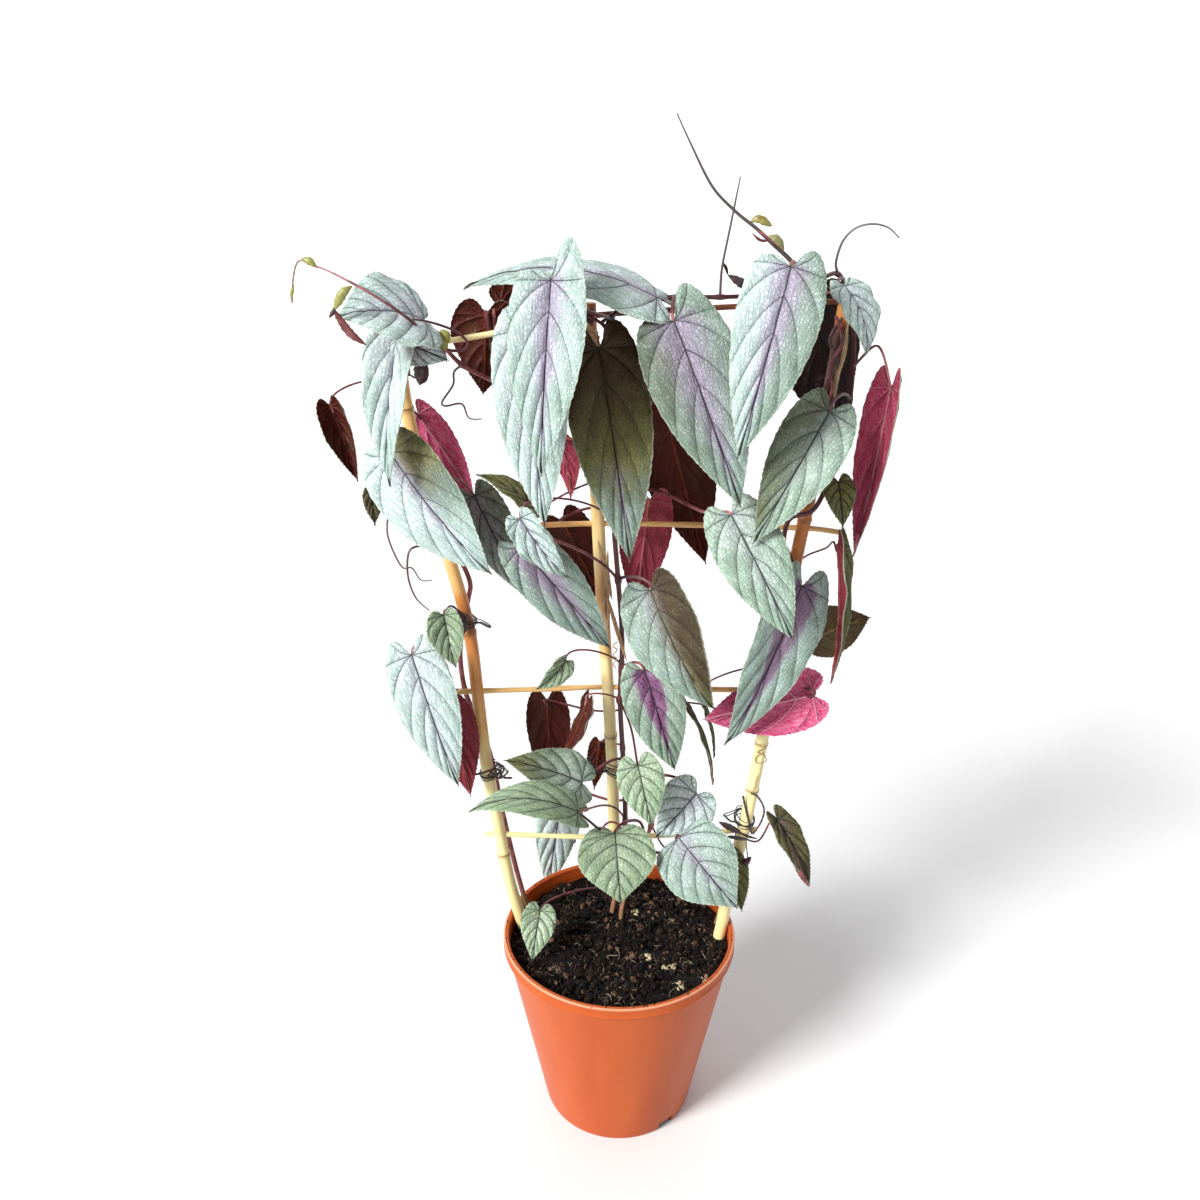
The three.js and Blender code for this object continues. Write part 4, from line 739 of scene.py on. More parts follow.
def sweep(path: Array, radii: Array, sides: int = 8, ribs: float = 0.0,
          end: Sequence[tuple[float, float]] = ROUND_END) -> Patch:
    """A rod: a ring of radius r(s) carried along a path, with rings past both ends that close it.

    Args:
        path: (n, 3) in mm.
        radii: radius at each point of the path.
        sides: corners of a ring.
        ribs: share of the radius by which every second corner stands out.
        end: rings past the last point, as (distance, radius), both as shares of the radius there.

    Returns:
        The closed patch, with u round it, v along it in mm, and its length in mm in the mark "along".
    """
    ahead, out, across = rings(path)
    turn = np.arange(sides) / sides * 2 * math.pi
    ridge = 1 + ribs * np.cos(np.arange(sides) * math.pi)
    start = [(0, -reach * radii[0], share * radii[0]) for reach, share in ROUND_END[::-1]]
    middle = [(index, 0.0, radius) for index, radius in enumerate(radii)]
    finish = [(len(path) - 1, reach * radii[-1], share * radii[-1]) for reach, share in end]
    at, shift, size = (np.array(column) for column in zip(*start, *middle, *finish))
    at = at.astype(int)
    centre = path[at] + ahead[at] * shift[:, None]
    spoke = np.cos(turn)[None, :, None] * out[at][:, None] + np.sin(turn)[None, :, None] * across[at][:, None]
    points = centre[:, None] + spoke * (size[:, None] * ridge)[..., None]
    along = travelled(path)[at] + shift
    poles = [centre[0] - ahead[0] * 0.1 * size[0], centre[-1] + ahead[-1] * 0.1 * size[-1]]
    patch = lattice(points, np.linspace(0, 1, sides + 1), along, wrap=True, poles=poles)
    return patch.mark(along=np.concatenate([np.repeat(along, sides), along[[0, -1]]]))


def threads(paths: Array, radii: Array, shares: Array, sides: int = 3) -> Patch:
    """Many thin rods at once, each closed by a flat end: rings of r(s) round every path.

    Args:
        paths: (rods, stations, 3) in mm.
        radii: one for each rod.
        shares: share of the radius at each station.
        sides: corners of a ring.

    Returns:
        One patch that holds them all, with the number of its rod in the mark "strand".
    """
    count, stations = paths.shape[:2]
    ahead = unit(np.gradient(paths, axis=1))
    out = unit(np.cross(ahead, np.array([0.31, 0.52, 0.79])))
    across = np.cross(ahead, out)
    turn = np.arange(sides) / sides * 2 * math.pi
    spoke = np.cos(turn)[:, None] * out[:, :, None] + np.sin(turn)[:, None] * across[:, :, None]
    points = paths[:, :, None] + spoke * (radii[:, None] * shares)[..., None, None]
    ring = np.arange(sides)
    base = (np.arange(stations - 1) * sides)[:, None]
    a, b = base + ring, base + (ring + 1) % sides
    wall = [np.stack([a, b, b + sides], -1), np.stack([a, b + sides, a + sides], -1)]
    fan = np.stack([np.zeros(sides - 2, int), ring[2:], ring[1:-1]], -1)
    faces = np.vstack([part.reshape(-1, 3) for part in wall] + [fan, (stations - 1) * sides + fan[:, ::-1]])
    faces = (np.arange(count) * stations * sides)[:, None, None] + faces
    patch = Patch(points.reshape(-1, 3), faces.reshape(-1, 3), np.zeros((faces.size // 3, 3, 2)))
    return patch.mark(strand=np.repeat(np.arange(count), stations * sides).astype(float))


def spindle(path: Array, radii: Array, flat: float, sides: int = 10) -> Patch:
    """A flattened rod that faces the viewer: rings of half width r(s) and half thickness flat r(s).

    Args:
        path: (n, 3) in mm.
        radii: half width at each point of the path.
        flat: thickness as a share of the width.
        sides: corners of a ring.

    Returns:
        The closed patch, with u round it and v along it in mm.
    """
    ahead = unit(np.gradient(path, axis=0))
    out = unit(np.cross(ahead, AHEAD))
    across = np.cross(ahead, out)
    turn = np.arange(sides) / sides * 2 * math.pi
    spoke = np.cos(turn)[None, :, None] * out[:, None] + flat * np.sin(turn)[None, :, None] * across[:, None]
    points = path[:, None] + spoke * radii[:, None, None]
    poles = [path[0] - ahead[0] * 0.3 * radii[0], path[-1] + ahead[-1] * 0.3 * radii[-1]]
    return lattice(points, np.linspace(0, 1, sides + 1), travelled(path), wrap=True, poles=poles)


GOLDEN = (1 + math.sqrt(5)) / 2
CRUMB_SIDE = [(a, b, 0.0) for a in (-1.0, 1.0) for b in (-GOLDEN, GOLDEN)]
CRUMB_POINTS = unit(np.vstack([np.roll(CRUMB_SIDE, turn, axis=1) for turn in range(3)]))


def crumb_faces() -> Array:
    """The 20 triangles between the 12 corners of a crumb: each three corners that lie an edge apart."""
    apart = np.linalg.norm(CRUMB_POINTS[:, None] - CRUMB_POINTS, axis=-1)
    near = (apart > 0.1) & (apart < 1.2)
    faces = [(a, b, c) for a in range(12) for b in range(a) for c in range(b)
             if near[a, b] & near[b, c] & near[a, c]]
    found = np.array(faces)
    a, b, c = (CRUMB_POINTS[found[:, corner]] for corner in range(3))
    inward = np.einsum("ij,ij->i", np.cross(b - a, c - a), a) < 0
    found[inward] = found[inward][:, ::-1]
    return found


def crumbs(centres: Array, sizes: Array, draw: np.random.Generator) -> Patch:
    """Many crumbs at once: 12 corners pushed in and out at random, stretched and turned.

    Args:
        centres: (crumbs, 3) in mm.
        sizes: (crumbs, 3) half sizes in mm, before they are turned.
        draw: where the random numbers come from.

    Returns:
        One patch, with the number of its crumb in the mark "strand".
    """
    count = len(centres)
    corners = CRUMB_POINTS[None] * draw.uniform(0.65, 1.15, (count, 12, 1)) * sizes[:, None]
    turn = np.linalg.qr(draw.normal(size=(count, 3, 3)))[0]
    turn *= np.sign(np.linalg.det(turn))[:, None, None]
    points = centres[:, None] + np.einsum("nij,nkj->nki", turn, corners)
    faces = (np.arange(count) * 12)[:, None, None] + crumb_faces()
    patch = Patch(points.reshape(-1, 3), faces.reshape(-1, 3), np.zeros((count * 20, 3, 2)))
    return patch.mark(strand=np.repeat(np.arange(count), 12).astype(float))


class Piece:
    """Gathers patches in mm and writes them as one mesh in metres that rides on the part."""

    def __init__(self, name: str, slot: str) -> None:
        """Starts a piece.

        Args:
            name: the piece's name.
            slot: the record's slot of its finish, which is kept but not used.
        """
        self.name = name
        self.slot = slot
        self.patches: list[tuple[Patch, Array]] = []

    def add(self, patch: Patch, finish: Array | int = 0) -> None:
        """Adds a patch.

        Args:
            patch: the surface.
            finish: number of its material, one for all faces or one for each.
        """
        self.patches.append((patch, np.broadcast_to(finish, len(patch.faces))))

    def write(self, materials: Sequence[bpy.types.Material], crease: float = 50.0,
              stands_for: Sequence[str] = ()) -> bpy.types.Object:
        """Makes the mesh and its object, held inside the box of the solids.

        Args:
            materials: in the order of the patches' numbers.
            crease: edges sharper than this many degrees stay sharp.
            stands_for: the solids' nodes that it replaces.

        Returns:
            The object, riding on the root body.
        """
        offsets = np.cumsum([0] + [len(patch.points) for patch, _ in self.patches])
        points = np.vstack([patch.points for patch, _ in self.patches]) * MM
        points = np.clip(points, *np.array([list(corner) for corner in CAD_BOX]))
        faces = np.vstack([patch.faces + offset for (patch, _), offset in zip(self.patches, offsets)])
        mesh = bpy.data.meshes.new(self.name)
        mesh.vertices.add(len(points))
        mesh.vertices.foreach_set("co", points.astype(np.float32).ravel())
        mesh.loops.add(faces.size)
        mesh.loops.foreach_set("vertex_index", faces.astype(np.int32).ravel())
        mesh.polygons.add(len(faces))
        mesh.polygons.foreach_set("loop_start", np.arange(len(faces), dtype=np.int32) * 3)
        finish = np.concatenate([numbers for _, numbers in self.patches])
        mesh.polygons.foreach_set("material_index", finish.astype(np.int32))
        uv = np.vstack([patch.uv for patch, _ in self.patches])
        mesh.uv_layers.new(name="pattern").data.foreach_set("uv", uv.astype(np.float32).ravel())
        for name in sorted({name for patch, _ in self.patches for name in patch.marks}):
            self.write_mark(mesh, name)
        for material in materials:
            mesh.materials.append(material)
        mesh.update(calc_edges=True)
        mesh.validate()
        mesh.set_sharp_from_angle(angle=math.radians(crease))
        made = bpy.data.objects.new(self.name, mesh)
        bpy.context.scene.collection.objects.link(made)
        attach(made, "root")
        if stands_for:
            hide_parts(*stands_for)
        LOG.info("%s: %d triangles", self.name, len(faces))
        return made

    def write_mark(self, mesh: bpy.types.Mesh, name: str) -> None:
        """Writes one mark as an attribute of the mesh's points, 0 where a patch has none of that name."""
        kinds = {(): ("FLOAT", "value"), (3,): ("FLOAT_VECTOR", "vector"), (4,): ("FLOAT_COLOR", "color")}
        shape = next(patch.marks[name].shape[1:] for patch, _ in self.patches if name in patch.marks)
        kind, key = kinds[shape]
        parts = [patch.marks.get(name, np.zeros((len(patch.points), *shape))) for patch, _ in self.patches]
        mark = mesh.attributes.new(name, kind, "POINT")
        mark.data.foreach_set(key, np.concatenate(parts).astype(np.float32).ravel())


def linear(code: str) -> tuple[float, float, float, float]:
    """An sRGB hex colour as linear light, with an alpha of 1."""
    parts = [int(code[place : place + 2], 16) / 255 for place in (1, 3, 5)]
    light = [part / 12.92 if part <= 0.04045 else ((part + 0.055) / 1.055) ** 2.4 for part in parts]
    return (*light, 1.0)


def socket(sockets: Iterable, key: int | str) -> bpy.types.NodeSocket:
    """The socket with that number, identifier or name."""
    if isinstance(key, int):
        return sockets[key]
    return next((one for one in sockets if one.identifier == key), None) or sockets[key]


def add_node(tree: bpy.types.NodeTree, kind: str, *feeds: object, out: object = 0,
             stops: Sequence[tuple[float, str]] = (), **named: object) -> object:
    """Adds a node with its settings and links.

    Args:
        tree: the material's node tree.
        kind: the node's type, without "ShaderNode".
        feeds: values of its first inputs, or the outputs that feed them.
        out: the output wanted, by number, name or identifier, or a tuple of them.
        stops: places and colours of a colour ramp.
        named: an input if the name starts with a capital, and otherwise a setting of the node.

    Returns:
        The output, or a list of them.
    """
    node = tree.nodes.new("ShaderNode" + kind)
    inputs = dict(enumerate(feeds))
    for name, value in named.items():
        if name[0].isupper():
            inputs[name] = value
        else:
            setattr(node, name, value)
    for index, (place, colour) in enumerate(stops):
        ramp = node.color_ramp.elements
        stop = ramp[index] if index < 2 else ramp.new(place)
        stop.position = place
        stop.color = linear(colour)
    for key, value in inputs.items():
        if isinstance(value, bpy.types.NodeSocket):
            tree.links.new(value, socket(node.inputs, key))
        else:
            socket(node.inputs, key).default_value = linear(value) if isinstance(value, str) else value
    return [socket(node.outputs, key) for key in out] if isinstance(out, tuple) else socket(node.outputs, out)


Put = Callable[..., object]

# Settings that many nodes share: a soft step, a mix of two colours, and one colour times another
SOFT = {"interpolation_type": "SMOOTHSTEP"}
BLEND = {"data_type": "RGBA", "out": "Result_Color"}
SHADE = {**BLEND, "blend_type": "MULTIPLY"}


class Finish:
    """A finish: a Principled surface with the values that are the same all over it."""

    def fill(self, put: Put) -> dict[str, object]:
        """Adds the pattern's nodes and returns what feeds the Principled surface, by socket."""
        raise NotImplementedError

    def make(self) -> bpy.types.Material:
        """Makes the material."""
        made = bpy.data.materials.new(type(self).__name__)
        made.use_nodes = True
        tree = made.node_tree
        tree.nodes.clear()
        put = partial(add_node, tree)
        shader = put("BsdfPrincipled", **self.fill(put))
        tree.links.new(shader, tree.nodes.new("ShaderNodeOutputMaterial").inputs["Surface"])
        return made

    def dimmed(self, put: Put, skin: object, value: object, low: float, high: float,
               span: tuple[float, float] = (0.0, 1.0), share: float = 1.0) -> object:
        """Adds a colour made darker or lighter by a value.

        Args:
            put: adds a node.
            skin: the colour.
            value: what changes it.
            low: what the colour is multiplied by where the value starts its span.
            high: the same where it ends it.
            span: where the value starts and ends.
            share: how much of the change shows.

        Returns:
            The colour's output.
        """
        level = put("MapRange", value, *span, low, high)
        return put("Mix", share, A_Color=skin, B_Color=put("CombineColor", level, level, level), **SHADE)

    def streaks(self, put: Put, turns: float, along: float, detail: float, rough: float = 0.5) -> object:
        """Adds streaks along a rod: noise stretched along the v of its pattern, which is in mm.

        Args:
            put: adds a node.
            turns: cells of the noise round the rod.
            along: cells of the noise for each mm along it.
            detail: how many finer layers the noise has.
            rough: how strong these are.

        Returns:
            The noise.
        """
        turn, run = put("SeparateXYZ", put("UVMap", uv_map="pattern"), out=(0, 1))
        place = put("CombineXYZ", put("Math", turn, turns, operation="MULTIPLY"),
                    put("Math", run, along, operation="MULTIPLY"))
        return put("TexNoise", place, Scale=1.0, Detail=detail, Roughness=rough)

    def clouded(self, put: Put, share: object, scale: float, detail: float, amount: float) -> object:
        """Adds a share that clouds shift up and down: (noise - 0.5) amount + share.

        Args:
            put: adds a node.
            share: the share.
            scale: clouds in a metre.
            detail: how many finer layers they have.
            amount: how far they shift it.

        Returns:
            The shifted share.
        """
        noise = put("TexNoise", put("TexCoord", out="Object"), Scale=scale, Detail=detail)
        around = put("Math", noise, 0.5, operation="SUBTRACT")
        return put("Math", around, amount, share, operation="MULTIPLY_ADD")


@dataclass(frozen=True)
class LeafSkin(Finish):
    """What both faces of a leaf share: where its veins run, in mm, from the marks that come with the mesh.

    Attributes:
        vein_half: half the width of a side vein where it leaves the midrib, and vein_end at the margin.
        rib_half: half the width of the midrib.
        hollow: how far from a vein the skin has risen all the way.
        rung: distance between the small veins that link two side veins like rungs.
        net: size of the meshes of the finest veins.
        pebble: size of the bumps between the smallest veins.
        mottle: size of the clouds in its colour.
        relief: how far its veins and bumps stand out, in m.
    """

    vein_half: float = 0.26
    vein_end: float = 0.16
    rib_half: float = 0.32
    hollow: float = 2.6
    rung: float = 1.5
    net: float = 2.3
    pebble: float = 1.1
    mottle: float = 16.0
    relief: float = 0.0005

    def veins(self, put: Put) -> dict[str, object]:
        """Adds the veins' nodes.

        Args:
            put: adds a node.

        Returns:
            Outputs by name: vein (1 on a vein), dip (0 at a vein to 1 between two), rungs (1 on a small
            vein), grain (0 to 1 in a bump), cloud (0 to 1), mist (the cloud less 0.5), count and out (the
            place), and the marks.
        """
        place = put("TexCoord", out="Object")
        count, out = put("SeparateXYZ", put("UVMap", uv_map="pattern"), out=(0, 1))
        reach = put("Attribute", attribute_name="reach", out="Vector")
        gap, rib, run = put("SeparateXYZ", reach, out=(0, 1, 2))
        tone, crimson = put("Attribute", attribute_name="tone", out=("Color", "Alpha"))
        shade, lilac, purple = put("SeparateColor", tone, out=(0, 1, 2))
        cloud = put("TexNoise", place, Scale=1 / (self.mottle * MM), Detail=4.0)
        mist = put("Math", cloud, 0.5, operation="SUBTRACT")

        away = put("Math", count, put("Math", count, operation="ROUND"), operation="SUBTRACT")
        apart = put("Math", put("Math", away, operation="ABSOLUTE"), gap, operation="MULTIPLY")
        half = put("MapRange", out, 0.0, 1.0, self.vein_half, self.vein_end)
        wider = put("Math", half, 2.0, operation="MULTIPLY")
        side_vein = put("MapRange", apart, half, wider, 0.85, 0.0, **SOFT)
        midrib = put("MapRange", rib, self.rib_half, 2.0 * self.rib_half, 1.0, 0.0, **SOFT)
        vein = put("Math", side_vein, midrib, operation="MAXIMUM")
        dip = put("MapRange", put("Math", apart, rib, operation="MINIMUM"), 0.0, self.hollow, **SOFT)

        step = put("Math", run, 1 / self.rung, operation="MULTIPLY")
        across = put("Math", count, 2.2, operation="MULTIPLY")
        ladder = put("TexNoise", put("CombineXYZ", step, across), Scale=1.0, Detail=2.0, Distortion=0.3)
        ladder = put("MapRange", ladder, 0.38, 0.56, 0.8, 0.0, **SOFT)
        shift = put("TexNoise", place, Scale=1 / (2 * self.net * MM), Detail=2.0, out="Color")
        shift = put("VectorMath", shift, (self.net * MM,) * 3, operation="MULTIPLY")
        bent = put("VectorMath", place, shift, operation="ADD")
        mesh = put("TexVoronoi", bent, Scale=1 / (self.net * MM), out="Distance", feature="DISTANCE_TO_EDGE")
        mesh = put("MapRange", mesh, 0.0, 0.15, 0.75, 0.0, **SOFT)
        rungs = put("Math", ladder, mesh, operation="MAXIMUM")
        grain = put("TexVoronoi", place, Scale=1 / (self.pebble * MM), out="Distance")
        return {"count": count, "out": out, "mist": mist, "cloud": cloud, "vein": vein, "dip": dip,
                "rungs": rungs, "grain": grain, "shade": shade, "lilac": lilac, "purple": purple,
                "crimson": crimson}


@dataclass(frozen=True)
class UpperSkin(LeafSkin):
    """Living leaf skin, upper face: waxy skin over air pockets, which silver its green.

    To the eye it is satin and slightly velvety, with dark sunken veins, rungs of finer ones a few mm apart,
    and colour that follows the veins: lilac or purple beside the midrib, green towards the margin.
    """

    def fill(self, put: Put) -> dict[str, object]:
        """Adds the leaf's pattern. Distances are in mm and come with the mesh."""
        leaf = self.veins(put)
        mist, out, shade, rungs, grain = (leaf[name] for name in ("mist", "out", "shade", "rungs", "grain"))
        broad = put("Attribute", attribute_name="broad", out="Fac")
        # The shade share is partly the leaf's own colour and partly painted shade
        level = put("Math", mist, 0.35, shade, operation="MULTIPLY_ADD")
        skin = put("ValToRGB", level, stops=((0.0, "#dbe8ea"), (1.0, "#48361f"), (0.2, "#b4c5c0"),
                                             (0.4, "#93a197"), (0.52, "#808777"), (0.68, "#7d794c")))
        green = put("MapRange", put("Math", mist, out, operation="ADD"), 0.35, 1.1, 0.0, 0.7)
        skin = put("Mix", green, A_Color=skin, B_Color="#e0f2df", **SHADE)
        warm = put("MapRange", leaf["lilac"], 0.0, 0.3, 1.0, 0.0)
        skin = put("Mix", warm, A_Color=skin, B_Color="#f4f6d6", **SHADE)

        reach = put("Math", mist, 0.35, out, operation="MULTIPLY_ADD")
        veins_on = put("Math", leaf["count"], float(SIDE_COUNT), operation="MODULO")
        lobe = put("MapRange", veins_on, 0.8, 3.0, **SOFT)
        zone = put("MapRange", reach, 0.04, broad, 1.0, 0.0, **SOFT)
        zone = put("Math", zone, lobe, operation="MULTIPLY")
        zone = put("Math", zone, leaf["lilac"], operation="MULTIPLY")
        dusk = put("Mix", shade, A_Color="#bbafc6", B_Color="#6b5c66", **BLEND)
        skin = put("Mix", zone, A_Color=skin, B_Color=dusk, **BLEND)
        ragged = put("Math", rungs, -0.1, reach, operation="MULTIPLY_ADD")
        band = put("MapRange", ragged, 0.25, 0.46, 1.0, 0.0, **SOFT)
        begun = put("MapRange", veins_on, 0.3, 1.3, **SOFT)
        band = put("Math", band, begun, operation="MULTIPLY")
        band = put("Math", band, leaf["purple"], operation="MULTIPLY")
        plum = put("Mix", leaf["crimson"], A_Color="#5f4965", B_Color="#611d52", **BLEND)
        skin = put("Mix", band, A_Color=skin, B_Color=plum, **BLEND)

        skin = self.dimmed(put, skin, grain, 0.95, 1.07)
        skin = put("Mix", shade, A_Color=skin, B_Color=self.dimmed(put, skin, grain, 0.65, 1.35), **BLEND)
        # Painted shade: the skin darkens towards the sunken veins and lightens between them
        skin = self.dimmed(put, skin, leaf["dip"], 0.88, 1.05)
        line = put("Mix", band, A_Color="#74857f", B_Color="#ffffff", **BLEND)
        share = put("Math", rungs, 0.68, operation="MULTIPLY")
        skin = put("Mix", share, A_Color=skin, B_Color=line, **SHADE)
        share = put("Math", put("Math", rungs, band, operation="MULTIPLY"), 0.3, operation="MULTIPLY")
        skin = put("Mix", share, A_Color=skin, B_Color="#bfaac2", **BLEND)
        skin = put("Mix", leaf["vein"], A_Color=skin, B_Color="#646a66", **SHADE)
        edge = put("MapRange", out, 0.965, 1.0, 0.0, 0.45)
        skin = put("Mix", edge, A_Color=skin, B_Color="#c4cdb8", **BLEND)

        height = put("Math", grain, 0.5, rungs, operation="MULTIPLY_ADD")
        height = put("Math", leaf["cloud"], height, operation="SUBTRACT")
        bump = put("Bump", Strength=0.7, Distance=self.relief, Height=height)
        gloss = put("MapRange", leaf["cloud"], 0.0, 1.0, 0.42, 0.6)
        return {"Base Color": skin, "Roughness": gloss, "Normal": bump, "Specular IOR Level": 0.4}


@dataclass(frozen=True)
class UnderSkin(LeafSkin):
    """Living leaf skin, underside: thin red skin, with raised veins that let less colour through.

    To the eye it runs from olive brown through dark maroon to wet crimson, with paler veins and finer rungs.
    """

    vein_half: float = 0.3
    rib_half: float = 0.45

    def fill(self, put: Put) -> dict[str, object]:
        """Adds the underside's pattern. Distances are in mm and come with the mesh."""
        leaf = self.veins(put)
        level = put("Math", leaf["mist"], 0.22, leaf["crimson"], operation="MULTIPLY_ADD")
        skin = put("ValToRGB", level, stops=((0.0, "#4b3d26"), (1.0, "#b22d60"), (0.2, "#3c1007"),
                                             (0.6, "#842839")))
        pale = put("ValToRGB", level, stops=((0.0, "#7c6442"), (1.0, "#df98b0"), (0.2, "#692a18"),
                                             (0.6, "#b0605f")))
        # Painted shade: a shade over 0.9 darkens the underside nearly to black
        dark = put("MapRange", leaf["shade"], 0.9, 1.6)
        skin, pale = (self.dimmed(put, colour, dark, 1.0, 0.12) for colour in (skin, pale))
        skin = self.dimmed(put, skin, leaf["grain"], 0.8, 1.15)
        # Painted shade: the skin darkens beside the veins and lightens between them
        skin = self.dimmed(put, skin, leaf["dip"], 0.85, 1.08)
        share = put("MapRange", leaf["crimson"], 0.0, 1.0, 0.12, 0.55)
        share = put("Math", leaf["rungs"], share, operation="MULTIPLY")
        skin = put("Mix", share, A_Color=skin, B_Color=pale, **BLEND)
        skin = put("Mix", leaf["vein"], A_Color=skin, B_Color=pale, **BLEND)
        height = put("Math", leaf["rungs"], leaf["vein"], operation="ADD")
        bump = put("Bump", Strength=0.7, Distance=self.relief, Height=height)
        return {"Base Color": skin, "Roughness": 0.42, "Normal": bump, "Specular IOR Level": 0.2}


@dataclass(frozen=True)
class StemSkin(Finish):
    """Young stem skin: smooth, finely furrowed bark over juicy wood, maroon in light and green when new."""

    furrow: float = 0.7

    def fill(self, put: Put) -> dict[str, object]:
        """Adds streaks along the stem, whose colour comes with the mesh in the mark "skin"."""
        streak = self.streaks(put, turns=7.0 / self.furrow, along=0.09, detail=4.0)
        age = put("Attribute", attribute_name="skin", out="Fac")
        mixed = self.clouded(put, age, scale=160.0, detail=3.0, amount=0.5)
        skin = put("ValToRGB", mixed, stops=((0.0, "#2b1517"), (1.0, "#9aa04e"), (0.3, "#64292e"),
                                             (0.55, "#b56f6c"), (0.78, "#8a7a45")))
        skin = self.dimmed(put, skin, streak, 0.6, 1.15, span=(0.3, 0.7), share=0.9)
        dry = put("Attribute", attribute_name="dry", out="Fac")
        skin = put("Mix", dry, A_Color=skin, B_Color="#6e6b69", **BLEND)
        bump = put("Bump", Strength=0.5, Distance=0.0003, Height=streak)
        return {"Base Color": skin, "Roughness": 0.42, "Normal": bump}


@dataclass(frozen=True)
class Bamboo(Finish):
    """Tonkin bamboo, scraped and dried: a hard waxy rind with fine fibres, brown at its nodes.

    To the eye it is satin straw yellow, tanned orange where the sun reached it, with streaks along the grain;
    its browns darker than tanned rind are painted shade.
    """

    fibre: float = 0.8
    darkest: float = 1.5

    def fill(self, put: Put) -> dict[str, object]:
        """Adds the grain. The mark "node" is 1 at a node and "tan" how dark the rind is, over 1 by painted
        shade.
        """
        fibres = 2 * math.pi * CANE_RADIUS / self.fibre
        grain = self.streaks(put, turns=fibres, along=0.035, detail=6.0, rough=0.65)
        tan = put("Attribute", attribute_name="tan", out="Fac")
        spread = self.clouded(put, tan, scale=55.0, detail=4.0, amount=0.35)
        spread = put("Math", spread, 1 / self.darkest, operation="MULTIPLY")
        # From 0.67 on, the ramp's browns down to near black are painted shade
        rind = put("ValToRGB", spread, stops=((0.0, "#f0e1a2"), (1.0, "#1f100b"), (0.2, "#e8be78"),
                                              (0.43, "#c47a30"), (0.67, "#713d20")))
        rind = self.dimmed(put, rind, grain, 0.74, 1.1, span=(0.3, 0.72), share=0.85)
        node = put("Attribute", attribute_name="node", out="Fac")
        ring = put("Math", node, put("MapRange", grain, 0.0, 1.0, 0.4, 1.0), operation="MULTIPLY")
        rind = put("Mix", ring, A_Color=rind, B_Color="#7d5226", **BLEND)
        bump = put("Bump", Strength=0.35, Distance=0.0003, Height=grain)
        gloss = put("MapRange", grain, 0.0, 1.0, 0.3, 0.5)
        return {"Base Color": rind, "Roughness": gloss, "Normal": bump, "Coat Weight": 0.15,
                "Coat Roughness": 0.25}


@dataclass(frozen=True)
class PotPlastic(Finish):
    """Polypropylene, injection moulded, coloured terracotta orange.

    To the eye it is satin, with a faint flow pattern, fine scuffs round it and dust on the rim. A pale line
    on the rim's outer edge is a painted highlight, and a darker strip under its band is painted shade.

    Attributes:
        form: the pot's sizes.
        scuff: width of a scuff in mm.
        shade_below_band: how far under the band the painted shade reaches.
        dusty: how far down from the rim the dust reaches.
        highlight_depths: depth in mm at which the painted highlight on the rim's outer edge starts, and at
            which it is all there.
    """

    form: PotForm = PotForm()
    scuff: float = 3.0
    shade_below_band: float = 3.0
    dusty: float = 9.0
    highlight_depths: tuple[float, float] = (1.3, 0.4)

    def fill(self, put: Put) -> dict[str, object]:
        """Adds flow marks that run up the wall and scuffs that run round it."""
        place = put("TexCoord", out="Object")
        high = put("SeparateXYZ", place, out=2)
        out = put("VectorMath", put("VectorMath", place, (1.0, 1.0, 0.0), operation="MULTIPLY"),
                  out="Value", operation="LENGTH")
        flow = put("TexNoise", put("Mapping", place, Scale=(1.0, 1.0, 0.15)), Scale=30.0, Detail=3.0)
        base = put("ValToRGB", flow, stops=((0.25, "#ab491c"), (0.75, "#ba5825")))
        scuffs = put("TexNoise", put("Mapping", place, Scale=(0.25, 0.25, 6.0)), Scale=1 / (self.scuff * MM),
                     Detail=6.0, Roughness=0.7)
        worn = put("MapRange", scuffs, 0.66, 0.8, 0.0, 0.22)
        rim = self.form.height
        band = (rim - self.form.band) * MM
        # Painted shade: the wall darkens just under the overhanging band.
        band_shade = put("MapRange", high, band - self.shade_below_band * MM, band, 0.0, 0.45)
        below = put("Math", high, band + 0.5 * MM, operation="LESS_THAN")
        band_shade = put("Math", band_shade, below, operation="MULTIPLY")
        # Painted highlight: a pale line along the rim's outer top edge.
        deep, full = self.highlight_depths
        rim_highlight = put("MapRange", high, (rim - deep) * MM, (rim - full) * MM, 0.0, 0.6)
        outer = put("Math", out, (self.form.rim - deep) * MM, operation="GREATER_THAN")
        rim_highlight = put("Math", rim_highlight, outer, operation="MULTIPLY")
        near = put("MapRange", high, (rim - self.dusty) * MM, rim * MM)
        dust = put("TexNoise", place, Scale=260.0, Detail=5.0)
        speck = put("MapRange", dust, 0.62, 0.72, 0.0, 0.55)
        speck = put("Math", speck, near, operation="MULTIPLY")
        for share, colour in ((worn, "#eba478"), (band_shade, "#6e2c12"), (rim_highlight, "#f0b48e"), (speck, "#6b4433")):
            base = put("Mix", share, A_Color=base, B_Color=colour, **BLEND)
        bump = put("Bump", Strength=0.12, Distance=0.0002, Height=scuffs)
        gloss = put("MapRange", scuffs, 0.0, 1.0, 0.3, 0.52)
        return {"Base Color": base, "Roughness": gloss, "Normal": bump, "Specular IOR Level": 0.22}


